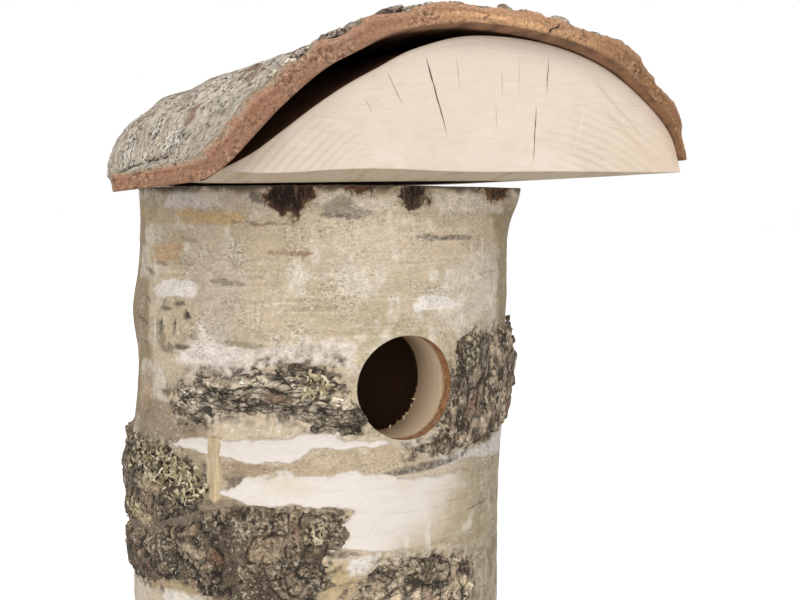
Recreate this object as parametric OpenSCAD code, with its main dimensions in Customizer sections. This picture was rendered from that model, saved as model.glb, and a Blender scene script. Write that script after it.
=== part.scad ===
// Nest box made from a hollowed birch log under a bark-covered half-log roof.
// Millimetres, +Z up, base on Z = 0, entry hole facing -Y.

/* [Log] */
// height of the sawn log
log_h = 190; // [150:1:260]
// mean diameter over the bark
log_d = 124.6; // [110:0.2:150]
// thickness of the bark layer on the wood
bark_t = 4.8; // [3.5:0.1:7]
// thickness of the wood wall round the nest cavity
wall_t = 15.5; // [12:0.5:22]
// how far the outline swells to the left near the base
log_lean = 2.2; // [0:0.1:4]

/* [Entry hole] */
// diameter of the entry hole
hole_d = 32; // [26:1:40]
// drop of the hole's centre below the log's top
hole_drop = 61; // [55:1:75]

/* [Floor] */
// thickness of the floor disc
floor_t = 18; // [10:1:30]

/* [Roof] */
// air gap between the log and the roof slab
roof_gap = 3.8; // [2:0.1:8]
// depth of the locating plug below the log's top
plug_depth = 14; // [8:1:24]
// turn of the roof on the log, in degrees
roof_turn = -12.8; // [-20:0.1:20]
// how much wider the roof slab is than the log
eaves_sides = 26.4; // [10:0.2:45]
// crown height of the roof slab
slab_h = 41; // [34:1:50]
// sideways shift of the roof slab's middle from the log's axis
slab_shift = 13; // [0:1:16]
// reach of the slab's sawn front face past the log
eaves_front = 27.7; // [15:0.1:45]
// reach of the slab's back face past the log
eaves_back = 3.7; // [1:0.1:15]

/* [Roof bark] */
// thickness of the roof bark at its crown
roof_bark_t = 5.5; // [4:0.1:8]
// reach of the roof bark past the slab's front face
bark_eaves = 12; // [6:1:18]
// reach of the roof bark past the slab's back face
bark_rear = 5; // [2:1:12]
// length over which the pressed-in corner blends into the plain arch
blend_len = 105; // [60:1:130]

/* [Raised bark] */
// height of the rough bark plates above the paper bark
plate_h = 2.8; // [1.5:0.1:4]
// thickness of a loose sheet of paper bark
peel_t = 0.9; // [0.6:0.1:1.5]
// thickness of the torn scars at the rim
scar_t = 0.9; // [0.6:0.1:1.5]

/* [Hidden] */
wood_r = log_d / 2 - bark_t;
cavity_r = wood_r - wall_t;
slab_w = log_d + eaves_sides;
slab_front = log_d / 2 + eaves_front;
slab_back = log_d / 2 + eaves_back;
hole_z = log_h - hole_drop;
// the locating disc stands a little above the log's top and almost meets the slab
disc_rise = 0.15 * roof_gap;
seat = 0.25;
edge_t = 0.5;
past = 1;
round_fn = 96;
// grid of the paper bark: steps round the log and up it
log_steps = 72;
log_rows = 24;
// grid of the roof: steps along a section and along its depth
arch_steps = 40;
brim_steps = 8;
roof_rows = 16;
slab_rows = 10;
sole_steps = 12;
// sawn underside of the slab: how far it hangs in the middle, how much more at the left than at the right,
// and the length over which it rises to the front edge
sole_drop = 2.4;
sole_tilt = 1.1;
sole_len = 28;
// waver of the front edge
sole_wave = 0.7;
// direction of the swelling near the base
lean_phi = -114;
// height of the broad and of the narrow waves round the bark
broad_wave = 0.35;
narrow_wave = 0.25;
// swellings of the bark: angle, drop as a share of the height, angular and height spread, rise
SWELLS = [
    [-73, 0.226, 11, 0.07, 1.6],
    [59, 0, 9, 0.055, 5.2],
    [58, 0.12, 18, 0.09, 0.9],
    [-106, 0.06, 22, 0.09, -1],
    [-107, 0.215, 10, 0.055, 1.9],
    [-104, 0.5, 24, 0.12, 1.6],
    [56, 0.335, 24, 0.11, 0.8],
    [150, 0.6, 26, 0.2, 1.4],
    [-160, 0.25, 22, 0.16, 1.2]
];
// half-log section at the sawn front face, as shares of half the width and of the crown height
SLAB_FRONT = [
    [-0.775, 0], [-0.662, 0.11], [-0.55, 0.263], [-0.44, 0.417], [-0.326, 0.559],
    [-0.212, 0.676], [-0.066, 0.815], [0.146, 0.912], [0.411, 0.885], [0.649, 0.749],
    [0.828, 0.524], [0.954, 0.268], [1, 0]
];
// half-log section of the plain arch behind
SLAB_BACK = [
    [-1, 0], [-0.987, 0.16], [-0.934, 0.318], [-0.848, 0.457], [-0.702, 0.592],
    [-0.503, 0.733], [-0.225, 0.888], [0.066, 0.978], [0.411, 0.92], [0.649, 0.78],
    [0.821, 0.537], [0.947, 0.28], [1, 0]
];
// underside of the roof bark at its front rim, over the slab
ARCH_FRONT = [
    [-0.762, 0.044], [-0.682, 0.2], [-0.596, 0.371], [-0.503, 0.529], [-0.411, 0.659],
    [-0.305, 0.763], [-0.146, 0.9], [0.119, 0.959], [0.411, 0.898], [0.649, 0.761],
    [0.828, 0.534], [0.956, 0.273], [1.002, 0.005]
];
// underside of the flat brim left of the slab, from its tip to the slab, front and back
BRIM_FRONT = [[-1.148, -0.149], [-0.993, -0.112], [-0.848, -0.068]];
BRIM_BACK = [[-1.008, -0.07], [-1.006, -0.047], [-1.003, -0.022]];
// thickness of the roof bark along its section, as shares of its thickness at the crown
THICKNESS = [[0.8, 0], [1.2, 0], [1.35, 0], [1.2, 0], [1.06, 0], [0.88, 0], [1, 0], [0.35, 0]];
// share of the arch that the bark covers: it stops short of the slab's right-hand edge
bark_end = 0.97;
// how far the bark's front rim draws back toward the right-hand edge
rim_back = 9;
// long ridges along the roof bark: height, number across the bark and length of one bend
roof_ridge = 0.6;
roof_ridges = 11;
roof_bend = 85;

// spacing of the main ridges on the rough bark, and how deep the furrows between them are
ridge_gap = 24;
furrow = 0.6;
// raised pieces: stations along each, with an angle and the drops of its upper and lower edge as shares
LEFT = [
    [-73, 0.343, 0.357], [-64, 0.302, 0.386], [-53, 0.308, 0.356], [-42, 0.288, 0.358],
    [-31, 0.277, 0.368], [-21, 0.282, 0.394], [-15, 0.34, 0.397], [-10.5, 0.377, 0.392]
];
RIGHT = [
    [3, 0.42, 0.43], [10, 0.4, 0.434], [15, 0.33, 0.436], [20, 0.252, 0.432], [30, 0.244, 0.427],
    [45, 0.24, 0.414], [58, 0.238, 0.405], [68, 0.263, 0.385], [74, 0.305, 0.335]
];
FLANK = [
    [-128, 0.48, 0.52], [-116, 0.425, 0.57], [-104, 0.415, 0.58], [-90, 0.42, 0.572],
    [-76, 0.424, 0.552], [-67, 0.434, 0.536], [-62, 0.455, 0.527], [-59, 0.48, 0.512]
];
LOWER_LEFT = [
    [-118, 0.592, 0.645], [-104, 0.588, 0.668], [-88, 0.579, 0.668], [-72, 0.556, 0.648],
    [-60, 0.532, 0.655], [-50, 0.516, 0.735], [-40, 0.511, 0.772], [-30, 0.511, 0.745],
    [-24, 0.512, 0.62], [-18, 0.514, 0.528]
];
LOWER_RIGHT = [
    [-17, 0.665, 0.715], [-12, 0.617, 0.745], [-4, 0.604, 0.76], [4, 0.6, 0.763], [13, 0.604, 0.75],
    [21, 0.615, 0.715], [27.5, 0.642, 0.668]
];
REAR_LEFT = [
    [-182, 0.37, 0.43], [-172, 0.31, 0.52], [-158, 0.29, 0.55], [-146, 0.31, 0.53], [-135, 0.4, 0.45]
];
REAR_RIGHT = [
    [86, 0.52, 0.57], [96, 0.465, 0.65], [112, 0.44, 0.685], [128, 0.46, 0.655], [138, 0.55, 0.6]
];
REAR_LOW = [
    [139, 0.77, 0.81], [152, 0.705, 0.855], [172, 0.685, 0.88], [192, 0.7, 0.86], [206, 0.76, 0.8]
];
BASE = [
    [30, 0.86, 0.89], [42, 0.82, 0.925], [60, 0.8, 0.937], [78, 0.815, 0.925], [90, 0.855, 0.89]
];
KNOT = [[-80, 0.2, 0.25], [-75, 0.18, 0.274], [-68, 0.177, 0.272], [-61, 0.19, 0.245]];
BAND = [
    [-52, 0.404, 0.43], [-42, 0.403, 0.437], [-34, 0.4, 0.435], [-26, 0.399, 0.418],
    [-17, 0.401, 0.414], [-7, 0.407, 0.414]
];
SHEET = [
    [-52.5, 0.484, 0.496], [-45, 0.464, 0.5], [-35, 0.454, 0.502], [-24, 0.458, 0.504], [-15, 0.452, 0.51],
    [-11, 0.46, 0.556], [-2, 0.468, 0.552], [8, 0.469, 0.535], [19, 0.466, 0.48]
];
STRIP = [[-58, 0.401, 0.5], [-56, 0.4, 0.505], [-54, 0.401, 0.5]];
// rim scars: middle angle, half angle, depth
SCAR_WIDE = [-33.5, 5.2, 9.5];
SCAR_SMALL = [-13.3, 4.6, 3.6];
SCAR_DEEP = [3.4, 3.4, 7];
SCAR_RIGHT = [40, 12, 6];

function clamp(x) = min(max(x, 0), 1);
function ease(x) = let(c = clamp(x)) c * c * (3 - 2 * c);
function turn(a) = a - 360 * round(a / 360);
// height of a drop given as a share of the log's height
function up(drop) = log_h * (1 - drop);
// point on the log: angle from the entry hole, radius, height
function on_log(phi, r, z) = [r * sin(phi), -r * cos(phi), z];

// sum of the swellings at an angle and a drop
function swell(phi, drop, i = 0) = i == len(SWELLS) ? 0
    : SWELLS[i][4] * exp(-pow(turn(phi - SWELLS[i][0]) / SWELLS[i][2], 2)
                         - pow((drop - SWELLS[i][1]) / SWELLS[i][3], 2))
      + swell(phi, drop, i + 1);

// outside radius of the paper bark: mean circle, gentle waves, the lean and the swellings
function log_r(phi, z) = let(drop = 1 - z / log_h)
    log_d / 2
    + broad_wave * sin(3 * phi + 40) + narrow_wave * sin(5 * phi + 300 * drop)
    + log_lean * cos(phi - lean_phi) * ease((drop - 0.28) / 0.25)
    + swell(phi, drop);

// smooth curve through the knots k, t from 0 to 1
function curve(k, t) = let(
    n = len(k) - 1,
    i = min(floor(t * n), n - 1),
    s = t * n - i,
    a = k[max(i - 1, 0)],
    b = k[i],
    c = k[i + 1],
    d = k[min(i + 2, n)])
    0.5 * (2 * b + (c - a) * s + (2 * a - 5 * b + 4 * c - d) * s * s
           + (3 * b - a - 3 * c + d) * s * s * s);

// solid between two grids of points with the same rows and columns
module shell(outer, inner) {
    m = len(outer);
    n = len(outer[0]);
    o = m * n;
    function id(i, j) = i * n + j;
    pts = concat([for (row = outer) for (p = row) p], [for (row = inner) for (p = row) p]);
    top = [for (i = [0 : m - 2]) for (j = [0 : n - 2])
        each [[id(i, j), id(i + 1, j + 1), id(i + 1, j)], [id(i, j), id(i, j + 1), id(i + 1, j + 1)]]];
    under = [for (f = top) [f[0] + o, f[2] + o, f[1] + o]];
    rim = concat(
        [for (j = [0 : n - 2]) id(0, j)],
        [for (i = [0 : m - 2]) id(i, n - 1)],
        [for (j = [n - 1 : -1 : 1]) id(m - 1, j)],
        [for (i = [m - 1 : -1 : 1]) id(i, 0)]);
    k = len(rim);
    sides = [for (q = [0 : k - 1]) let(a = rim[q], b = rim[(q + 1) % k])
        each [[a, a + o, b + o], [a, b + o, b]]];
    polyhedron(pts, concat(top, under, sides), convexity = 6);
}

// solid through closed rings of points with flat ends
module loft(rings) {
    m = len(rings);
    n = len(rings[0]);
    function id(i, j) = i * n + j % n;
    pts = [for (r = rings) for (p = r) p];
    skin = [for (i = [0 : m - 2]) for (j = [0 : n - 1])
        each [[id(i, j), id(i + 1, j + 1), id(i, j + 1)], [id(i, j), id(i + 1, j), id(i + 1, j + 1)]]];
    first = [for (j = [0 : n - 1]) j];
    last = [for (j = [n - 1 : -1 : 0]) id(m - 1, j)];
    polyhedron(pts, concat(skin, [first], [last]), convexity = 6);
}

module entry_bore() {
    translate([0, 0, hole_z])
        rotate([90, 0, 0])
            cylinder(h = log_d, d = hole_d, $fn = round_fn);
}

module log_wall() {
    color([0.86, 0.78, 0.62])
        difference() {
            cylinder(h = log_h, r = wood_r, $fn = round_fn);
            translate([0, 0, -past])
                cylinder(h = log_h + 2 * past, r = cavity_r, $fn = round_fn);
            entry_bore();
        }
}

module log_bark() {
    rings = [for (i = [0 : log_rows]) let(z = log_h * i / log_rows)
        [for (j = [0 : log_steps - 1]) let(phi = 360 * j / log_steps) on_log(phi, log_r(phi, z), z)]];
    color([0.72, 0.68, 0.6])
        difference() {
            loft(rings);
            translate([0, 0, -past])
                cylinder(h = log_h + 2 * past, r = wood_r, $fn = round_fn);
            entry_bore();
        }
}

module floor_disc() {
    color([0.82, 0.72, 0.55])
        cylinder(h = floor_t, r = cavity_r, $fn = round_fn);
}

// disc that locates the roof in the cavity
module roof_plug() {
    color([0.82, 0.72, 0.55])
        translate([0, 0, log_h - plug_depth])
            cylinder(h = plug_depth + disc_rise, r = cavity_r, $fn = round_fn);
}

// the roof's own frame: X to the right, -Y to the front, Z = 0 at the slab's flat underside
module on_roof() {
    translate([0, 0, log_h + roof_gap])
        rotate([0, 0, roof_turn])
            children();
}

// share of the front shape in the section at a reach from the log's axis
function front_share(reach) = ease(1 - (slab_front - reach) / blend_len);
function to_roof(p, reach) = [slab_shift + p[0] * slab_w / 2, -reach, p[1] * slab_h];

// how far the slab's underside hangs: flat in the middle, rising to both sides and to a wavering front edge
function sole(c, reach) = let(
    u = (c - slab_shift) / (slab_w / 2),
    hang = (sole_drop - sole_tilt * u) * (1 - pow(abs(u), u > 0 ? 4 : 8)),
    behind = ease((slab_front - reach) / sole_len))
    hang * behind + sole_wave * sin(434 * u - 10) * pow(1 - u, 2) / 2 * (1 - behind);

module roof_slab() {
    rings = [for (i = [0 : slab_rows]) let(
            reach = slab_front - (slab_front + slab_back) * i / slab_rows,
            w = front_share(reach),
            arch = [for (j = [0 : arch_steps]) let(t = j / arch_steps)
                to_roof(w * curve(SLAB_FRONT, t) + (1 - w) * curve(SLAB_BACK, t), reach)],
            left = arch[0][0],
            right = arch[arch_steps][0])
        concat(arch, [for (j = [1 : sole_steps - 1]) let(c = right + (left - right) * j / sole_steps)
            [c, -reach, -sole(c, reach)]])];
    color([0.88, 0.8, 0.64])
        on_roof()
            loft(rings);
}

// underside of the roof bark: the flat brim first (s below 0), then the arch over the slab
function bark_section(w, s) = let(
    front = concat(BRIM_FRONT, ARCH_FRONT),
    back = concat(BRIM_BACK, SLAB_BACK),
    brim = len(BRIM_FRONT),
    arch = len(ARCH_FRONT) - 1,
    t = s < 0 ? brim * (1 + s) / (brim + arch) : (brim + arch * s) / (brim + arch))
    w * curve(front, t) + (1 - w) * curve(back, t);

// long ridges of the roof bark, from -1 to 1: they fade out on the brim and at the right-hand edge
function long_ridges(across, reach) =
    sin(360 * roof_ridges * across + 60 * sin(360 * reach / roof_bend))
    * ease((across - 0.2) / 0.15) * ease((1 - across) / 0.1);

module roof_bark() {
    steps = [for (j = [0 : brim_steps - 1]) j / brim_steps - 1];
    spans = concat(steps, [for (j = [0 : arch_steps]) bark_end * j / arch_steps]);
    n = len(spans) - 1;
    rear = slab_back + bark_rear;
    under = [for (i = [0 : roof_rows])
        [for (j = [0 : n]) let(
                s = spans[j],
                reach = slab_front + bark_eaves - rim_back * ease((s - 0.6) / 0.4) * (1 - i / roof_rows)
                    - (slab_front + bark_eaves + rear) * i / roof_rows,
                w = front_share(reach))
            to_roof(bark_section(w, s), reach)]];
    // the outer face stands off the underside, square to the section
    outer = [for (i = [0 : roof_rows])
        [for (j = [0 : n]) let(
                a = under[i][max(j - 1, 0)],
                b = under[i][min(j + 1, n)],
                d = [b[0] - a[0], b[2] - a[2]] / norm([b[0] - a[0], b[2] - a[2]]),
                t = roof_bark_t * curve(THICKNESS, j / n)[0] + roof_ridge * long_ridges(j / n, -a[1]))
            under[i][j] + t * [-d[1], 0, d[0]]]];
    color([0.55, 0.5, 0.45])
        on_roof()
            shell(outer, under);
}

// main ridges of the rough bark, from -1 to 1
function ridges(phi, drop) = let(x = phi * log_d * PI / 360, y = drop * log_h)
    sin(360 * x / ridge_gap + 60 * sin(200 * y / ridge_gap))
    * cos(360 * y / ridge_gap + 60 * sin(200 * x / ridge_gap));

// grid over a raised piece: angle, drop and how near the middle each point lies, 1 inside to 0 at the edge
function spread(at, rows, cols) = [for (i = [0 : rows])
    [for (j = [0 : cols]) let(
            e = curve(at, j / cols),
            s = 2 * j / cols - 1,
            t = 2 * i / rows - 1)
        [e[0], e[1] + (e[2] - e[1]) * i / rows, (1 - pow(s, 6)) * (1 - pow(t, 6))]]];

// shell that follows the bark, as thick as the third number of each point
module on_bark(grid) {
    outer = [for (row = grid) [for (p = row) on_log(p[0], log_r(p[0], up(p[1])) + p[2], up(p[1]))]];
    inner = [for (row = grid) [for (p = row) on_log(p[0], log_r(p[0], up(p[1])) + seat, up(p[1]))]];
    shell(outer, inner);
}

// raised piece with ridges and furrows, thin at its edge
module plate(at, rise, deep, rows, cols) {
    on_bark([for (row = spread(at, rows, cols)) [for (p = row)
        [p[0], p[1], edge_t + (rise * plate_h - edge_t) * p[2]
            * (1 - deep * (0.5 - 0.5 * ridges(p[0], p[1])))]]]);
}

module rough(at, rise = 1, rows = 8, cols = 15) {
    color([0.36, 0.32, 0.28])
        difference() {
            plate(at, rise, furrow, rows, cols);
            entry_bore();
        }
}

module bark_left() { rough(LEFT, rows = 6); }
module bark_right() { rough(RIGHT, 1.1); }
module bark_flank() { rough(FLANK); }
module bark_lower_left() { rough(LOWER_LEFT, rows = 9, cols = 18); }
module bark_lower_right() { rough(LOWER_RIGHT, 0.9, cols = 12); }
module bark_rear_left() { rough(REAR_LEFT, cols = 11); }
module bark_rear_right() { rough(REAR_RIGHT, cols = 11); }
module bark_rear_low() { rough(REAR_LOW); }
module bark_base() { rough(BASE, 0.9, 6, 12); }

module knot() {
    color([0.45, 0.36, 0.27])
        plate(KNOT, 0.8, 0.1, 8, 8);
}

// thin loose sheet of paper bark
module peel(at, rows = 4, cols = 18) {
    color([0.9, 0.88, 0.83])
        on_bark([for (row = spread(at, rows, cols)) [for (p = row) [p[0], p[1], peel_t]]]);
}

module peel_band() { peel(BAND); }
module peel_sheet() { peel(SHEET); }
module peel_strip() { peel(STRIP, 8, 4); }

// torn scar at the rim, a tongue that narrows downward
module scar(at, rows = 5, cols = 6) {
    color([0.3, 0.2, 0.13])
        on_bark([for (i = [0 : rows]) [for (j = [0 : cols]) let(
                s = 2 * j / cols - 1,
                t = i / rows)
            [at[0] + at[1] * s * (1 - 0.85 * t), at[2] * t / log_h, scar_t * (1 - 0.5 * t)]]]);
}

module scar_wide() { scar(SCAR_WIDE); }
module scar_small() { scar(SCAR_SMALL); }
module scar_deep() { scar(SCAR_DEEP); }
module scar_right() { scar(SCAR_RIGHT); }

log_wall();
log_bark();
floor_disc();
roof_plug();
roof_slab();
roof_bark();
bark_left();
bark_right();
bark_flank();
bark_lower_left();
bark_lower_right();
bark_rear_left();
bark_rear_right();
bark_rear_low();
bark_base();
knot();
peel_band();
peel_sheet();
peel_strip();
scar_wide();
scar_small();
scar_deep();
scar_right();
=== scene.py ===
"""Birch log nest box: the looks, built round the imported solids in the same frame.

Shapes are worked out in millimetres with numpy and go into the meshes in metres.
Angles on the log are degrees from the entry hole, positive toward +X; drops are millimetres below the rim.
"""

import bpy
import numpy as np
from mathutils import Matrix


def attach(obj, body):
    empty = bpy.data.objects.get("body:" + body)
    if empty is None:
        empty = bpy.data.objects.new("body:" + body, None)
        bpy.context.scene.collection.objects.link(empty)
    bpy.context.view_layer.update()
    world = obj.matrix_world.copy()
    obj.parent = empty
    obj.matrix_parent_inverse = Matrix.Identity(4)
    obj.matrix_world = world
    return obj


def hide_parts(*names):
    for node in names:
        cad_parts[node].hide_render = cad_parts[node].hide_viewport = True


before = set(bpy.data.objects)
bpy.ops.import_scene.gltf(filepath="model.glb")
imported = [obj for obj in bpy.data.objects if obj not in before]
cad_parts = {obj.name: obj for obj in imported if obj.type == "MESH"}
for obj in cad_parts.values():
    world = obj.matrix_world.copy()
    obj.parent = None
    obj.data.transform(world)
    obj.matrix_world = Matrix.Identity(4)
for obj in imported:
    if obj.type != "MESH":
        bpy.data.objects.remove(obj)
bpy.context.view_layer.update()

MM = 0.001
# sizes in mm; ARC is the arc of one degree, and the roof's turn is in radians
LOG_H = 190.0
LOG_R = 62.3  # mean radius over the paper bark
WOOD_R = 57.5  # radius of the wood under the bark
CAVITY_R = 42.0
HOLE_R = 16.0
HOLE_Z = 129.0  # height of the entry hole's middle
LOG_LEAN = 2.2  # how far the lower log leans to the left
ARC = np.pi / 180 * LOG_R
ROOF_GAP = 3.8  # from the log's rim up to the foot of the slab's section
ROOF_Z = LOG_H + ROOF_GAP
ROOF_TURN = np.radians(-12.8)
SLAB_W = 151.0
SLAB_H = 41.0
SLAB_SHIFT = 13.0  # of the slab's middle to the right of the log's axis
SLAB_FRONT = 90.0  # from the log's axis to the front end
SLAB_BACK = 66.0  # from the log's axis to the rear end
EAVES = 12.0  # how far the bark reaches past the slab in front
REAR = 5.0  # how far it reaches past the slab behind
BLEND = 105.0  # length over which the front section passes into the rear one
ROOF_BARK_T = 5.5
BEVEL = 2.0  # worn bevel of the bark's front edge
RIM_BACK = 9.0  # how far the bark's front rim falls back at its right end
SOLE_DROP = 2.4  # how far the slab's underside hangs in the middle
RIDGE = 24.0  # spacing of the main ridges on the rough bark
# long ridges of the roof bark: height, number across the bark and length of one bend
ROOF_RIDGE = 0.6
ROOF_RIDGES = 11
ROOF_BEND = 85.0
# steps across the roof bark, on the brim and on the arch, and the share of the arch that they cover
BRIM_STEPS = 8
ARCH_STEPS = 40
ARCH_END = 0.97
# angle on the log that faces the camera, and how far a raised piece's grid goes past its outline
VIEW_PHI = -24.0
MARGIN = 2.0
# sawn end: heart of the growth rings, across and up from the slab, and their spacing; rings in the bore
HEART = (37.0, -55.0)
END_RING = 2.3
BORE_RING = 2.1
# fine part of the log's bark, as the photograph shows it: its two side seams and its lower end
SEAM_LEFT = -114
SEAM_RIGHT = 68
FINE_DROP = 138


# Colour and noise

def linear(code):
    """Linear red, green and blue of an sRGB hex colour, by the standard curve."""
    part = np.array([int(code[i:i + 2], 16) for i in (0, 2, 4)]) / 255
    return np.where(part <= 0.04045, part / 12.92, ((part + 0.055) / 1.055) ** 2.4)


def ease(x):
    """Smooth step from 0 to 1: 3x squared minus 2x cubed, held outside."""
    x = np.clip(x, 0, 1)
    return x * x * (3 - 2 * x)


def share(i, j, k, seed):
    """Random share from 0 to 1 of each whole-number cell: its numbers and a seed,
    mixed by products and shifts."""
    h = (i * 73856093) ^ (j * 19349663) ^ (k * 83492791) ^ (seed * 40503 + 977)
    h = (h ^ (h >> 13)) * 1274126177
    h = (h ^ (h >> 16)) * 374761393
    h = h ^ (h >> 15)
    return (h & 0xFFFFFF) / float(0xFFFFFF)


def noise(p, size, seed):
    """Value noise from -1 to 1: random values at the corners of boxes of one size in mm,
    eased between them."""
    q = p / np.asarray(size, float)
    c = np.floor(q).astype(np.int64)
    f = q - c
    f = f * f * (3 - 2 * f)
    total = 0.0
    for a in (0, 1):
        for b in (0, 1):
            for d in (0, 1):
                w = np.abs(1 - a - f[..., 0]) * np.abs(1 - b - f[..., 1]) * np.abs(1 - d - f[..., 2])
                total = total + w * share(c[..., 0] + a, c[..., 1] + b, c[..., 2] + d, seed)
    return 2 * total - 1


def layers(p, size, seed, count=4):
    """Noise in layers, each half as large and half as strong as the one before. Round-grained noise is
    turned a little from layer to layer, so that no layer's boxes line up."""
    size = np.asarray(size, float)
    total = 0.0
    for n in range(count):
        q = p
        if size[0] == size[1]:
            a = 0.6 + 0.9 * n
            x, y = p[..., 0], p[..., 1]
            q = np.stack([x * np.cos(a) - y * np.sin(a), x * np.sin(a) + y * np.cos(a), p[..., 2]], -1)
        total = total + noise(q, size / 2 ** n, seed + n) / 2 ** n
    return total / 1.6


def cells(p, size, seed):
    """Cell pattern: one random point in each box. Gives how much further the second nearest point is than the
    nearest (0 on the border between two cells), the cell's own random share and a random slope across it."""
    q = p / np.asarray(size, float)
    c = np.floor(q).astype(np.int64)
    near = np.full(q.shape[:-1], 9.0)
    second = near.copy()
    own = np.zeros(q.shape[:-1])
    lean = own.copy()
    for a in (-1, 0, 1):
        for b in (-1, 0, 1):
            i, j, k = c[..., 0] + a, c[..., 1] + b, c[..., 2]
            x, y = share(i, j, k, seed), share(i, j, k, seed + 1)
            dx, dy = i + x - q[..., 0], j + y - q[..., 1]
            away = np.hypot(dx, dy)
            closer = away < near
            second = np.where(closer, near, np.minimum(second, away))
            own = np.where(closer, share(i, j, k, seed + 2), own)
            lean = np.where(closer, dx * (2 * y - 1) + dy * (1 - 2 * x), lean)
            near = np.where(closer, away, near)
    return second - near, own, lean


def blend(under, top, mask):
    """Passes from one field of colours to another by a mask from 0 to 1."""
    mask = mask[..., None]
    return under * (1 - mask) + top * mask


def over(under, code, mask):
    """Lays a colour on a field of colours by a mask, held between 0 and 1."""
    return blend(under, linear(code), np.clip(mask, 0, 1))


def plain(code, p):
    """One colour for all the points of a grid."""
    return np.broadcast_to(linear(code), p.shape)


def shaded(tint, field):
    """Colours made lighter and darker by a field around 0."""
    return tint * (1 + field)[..., None]


def mottled(tint, p, rows, where=1.0):
    """Lays colours where layered noise runs high. Each row has a colour, the noise's two sizes in mm and its
    seed, its gain and shift, and the colour's strength."""
    for code, size, seed, gain, shift, strength in rows:
        tint = over(tint, code, ease(layers(p, (*size, 1), seed) * gain + shift) * where * strength)
    return tint


# Meshes from grids

FIRST, LAST = slice(None, -1), slice(1, None)
CORNERS = ((FIRST, FIRST), (FIRST, LAST), (LAST, LAST), (LAST, FIRST))


def corners(grid):
    """Values of a grid at the four corners of each cell, in order round it."""
    return [grid[corner] for corner in CORNERS]


def sheet(p, tint, mat=0, keep=None, flip=False):
    """One grid of points in mm with a colour each, a material number and the faces to keep."""
    return {"p": p, "tint": np.broadcast_to(tint, p.shape), "mat": mat, "keep": keep, "flip": flip}


def make(name, sheets, materials, nodes=()):
    """Makes one piece from several grids: the four points of each grid cell are a face."""
    points, tints, quads, mats = [], [], [], []
    start = 0
    for s in sheets:
        m, n = s["p"].shape[:2]
        at = np.arange(m * n).reshape(m, n) + start
        quad = np.stack(corners(at), -1)
        if s["flip"]:
            quad = quad[..., ::-1]
        quad = quad.reshape(-1, 4) if s["keep"] is None else quad[s["keep"]]
        points.append(s["p"].reshape(-1, 3))
        tints.append(s["tint"].reshape(-1, 3))
        quads.append(quad)
        mats.append(np.full(len(quad), s["mat"]))
        start += m * n
    points, tints = np.concatenate(points), np.concatenate(tints)
    quads, mats = np.concatenate(quads), np.concatenate(mats)
    used = np.unique(quads)
    place = np.zeros(start, np.int64)
    place[used] = np.arange(len(used))
    mesh = bpy.data.meshes.new(name)
    mesh.vertices.add(len(used))
    mesh.vertices.foreach_set("co", (points[used] * MM).astype(np.float32).ravel())
    mesh.loops.add(quads.size)
    mesh.loops.foreach_set("vertex_index", place[quads].astype(np.int32).ravel())
    mesh.polygons.add(len(quads))
    mesh.polygons.foreach_set("loop_start", np.arange(0, quads.size, 4, dtype=np.int32))
    for material in materials:
        mesh.materials.append(material)
    mesh.polygons.foreach_set("material_index", mats.astype(np.int32))
    mesh.update(calc_edges=True)
    mesh.polygons.foreach_set("use_smooth", np.ones(len(quads), bool))
    colour = mesh.attributes.new("tint", "FLOAT_COLOR", "POINT")
    rgba = np.concatenate([np.clip(tints[used], 0, 1), np.ones((len(used), 1))], 1)
    colour.data.foreach_set("color", rgba.astype(np.float32).ravel())
    piece = bpy.data.objects.new(name, mesh)
    bpy.context.scene.collection.objects.link(piece)
    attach(piece, "root")
    if nodes:
        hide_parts(*nodes)
    return piece


# The log's form

# swellings: angle, drop as a share of the height, angular and height spread, rise in mm
SWELLS = [(-73, 0.226, 11, 0.07, 1.6), (59, 0, 9, 0.055, 5.2), (58, 0.12, 18, 0.09, 0.9),
          (-106, 0.06, 22, 0.09, -1), (-107, 0.215, 10, 0.055, 1.9), (-104, 0.5, 24, 0.12, 1.6),
          (56, 0.335, 24, 0.11, 0.8), (150, 0.6, 26, 0.2, 1.4), (-160, 0.25, 22, 0.16, 1.2)]


def log_radius(phi, drop):
    """Outside radius of the paper bark: mean circle, gentle waves, a lean to the left low down, and swellings
    that are bell curves of angle and height."""
    d = drop / LOG_H
    turn = np.radians(phi)
    r = LOG_R + 0.35 * np.sin(3 * turn + np.radians(40)) + 0.25 * np.sin(5 * turn + np.radians(300 * d))
    r = r + LOG_LEAN * np.cos(np.radians(phi + 114)) * ease((d - 0.28) / 0.25)
    for at, low, wide, tall, rise in SWELLS:
        off = (phi - at + 180) % 360 - 180
        r = r + rise * np.exp(-(off / wide) ** 2 - ((d - low) / tall) ** 2)
    return r


def on_log(phi, r, drop):
    """Point at an angle, a radius and a drop below the rim."""
    turn = np.radians(phi)
    return np.stack([r * np.sin(turn), -r * np.cos(turn), LOG_H - drop + 0 * r], -1)


def unrolled(phi, drop, page=0.0):
    """The bark laid flat, in mm: arc length, drop and a page number that gives each piece its own noise."""
    return np.stack([phi * ARC, drop, 0 * drop + page], -1)


def edge_distance(phi, drop, outline):
    """Distance in mm to an outline on the unrolled bark, positive inside: nearest edge, sign by crossings."""
    x, y = phi * ARC, drop
    points = np.array(outline, float) * (ARC, 1)
    best = np.full(x.shape, 1e9)
    inside = np.zeros(x.shape, bool)
    for (ax, ay), (bx, by) in zip(points, np.roll(points, -1, 0)):
        dx, dy = bx - ax, by - ay
        t = np.clip(((x - ax) * dx + (y - ay) * dy) / (dx * dx + dy * dy + 1e-9), 0, 1)
        best = np.minimum(best, np.hypot(x - ax - t * dx, y - ay - t * dy))
        inside ^= ((ay > y) != (by > y)) & (x < ax + dx * (y - ay) / (dy + 1e-9 * (dy == 0)))
    return np.where(inside, best, -best)


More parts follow.
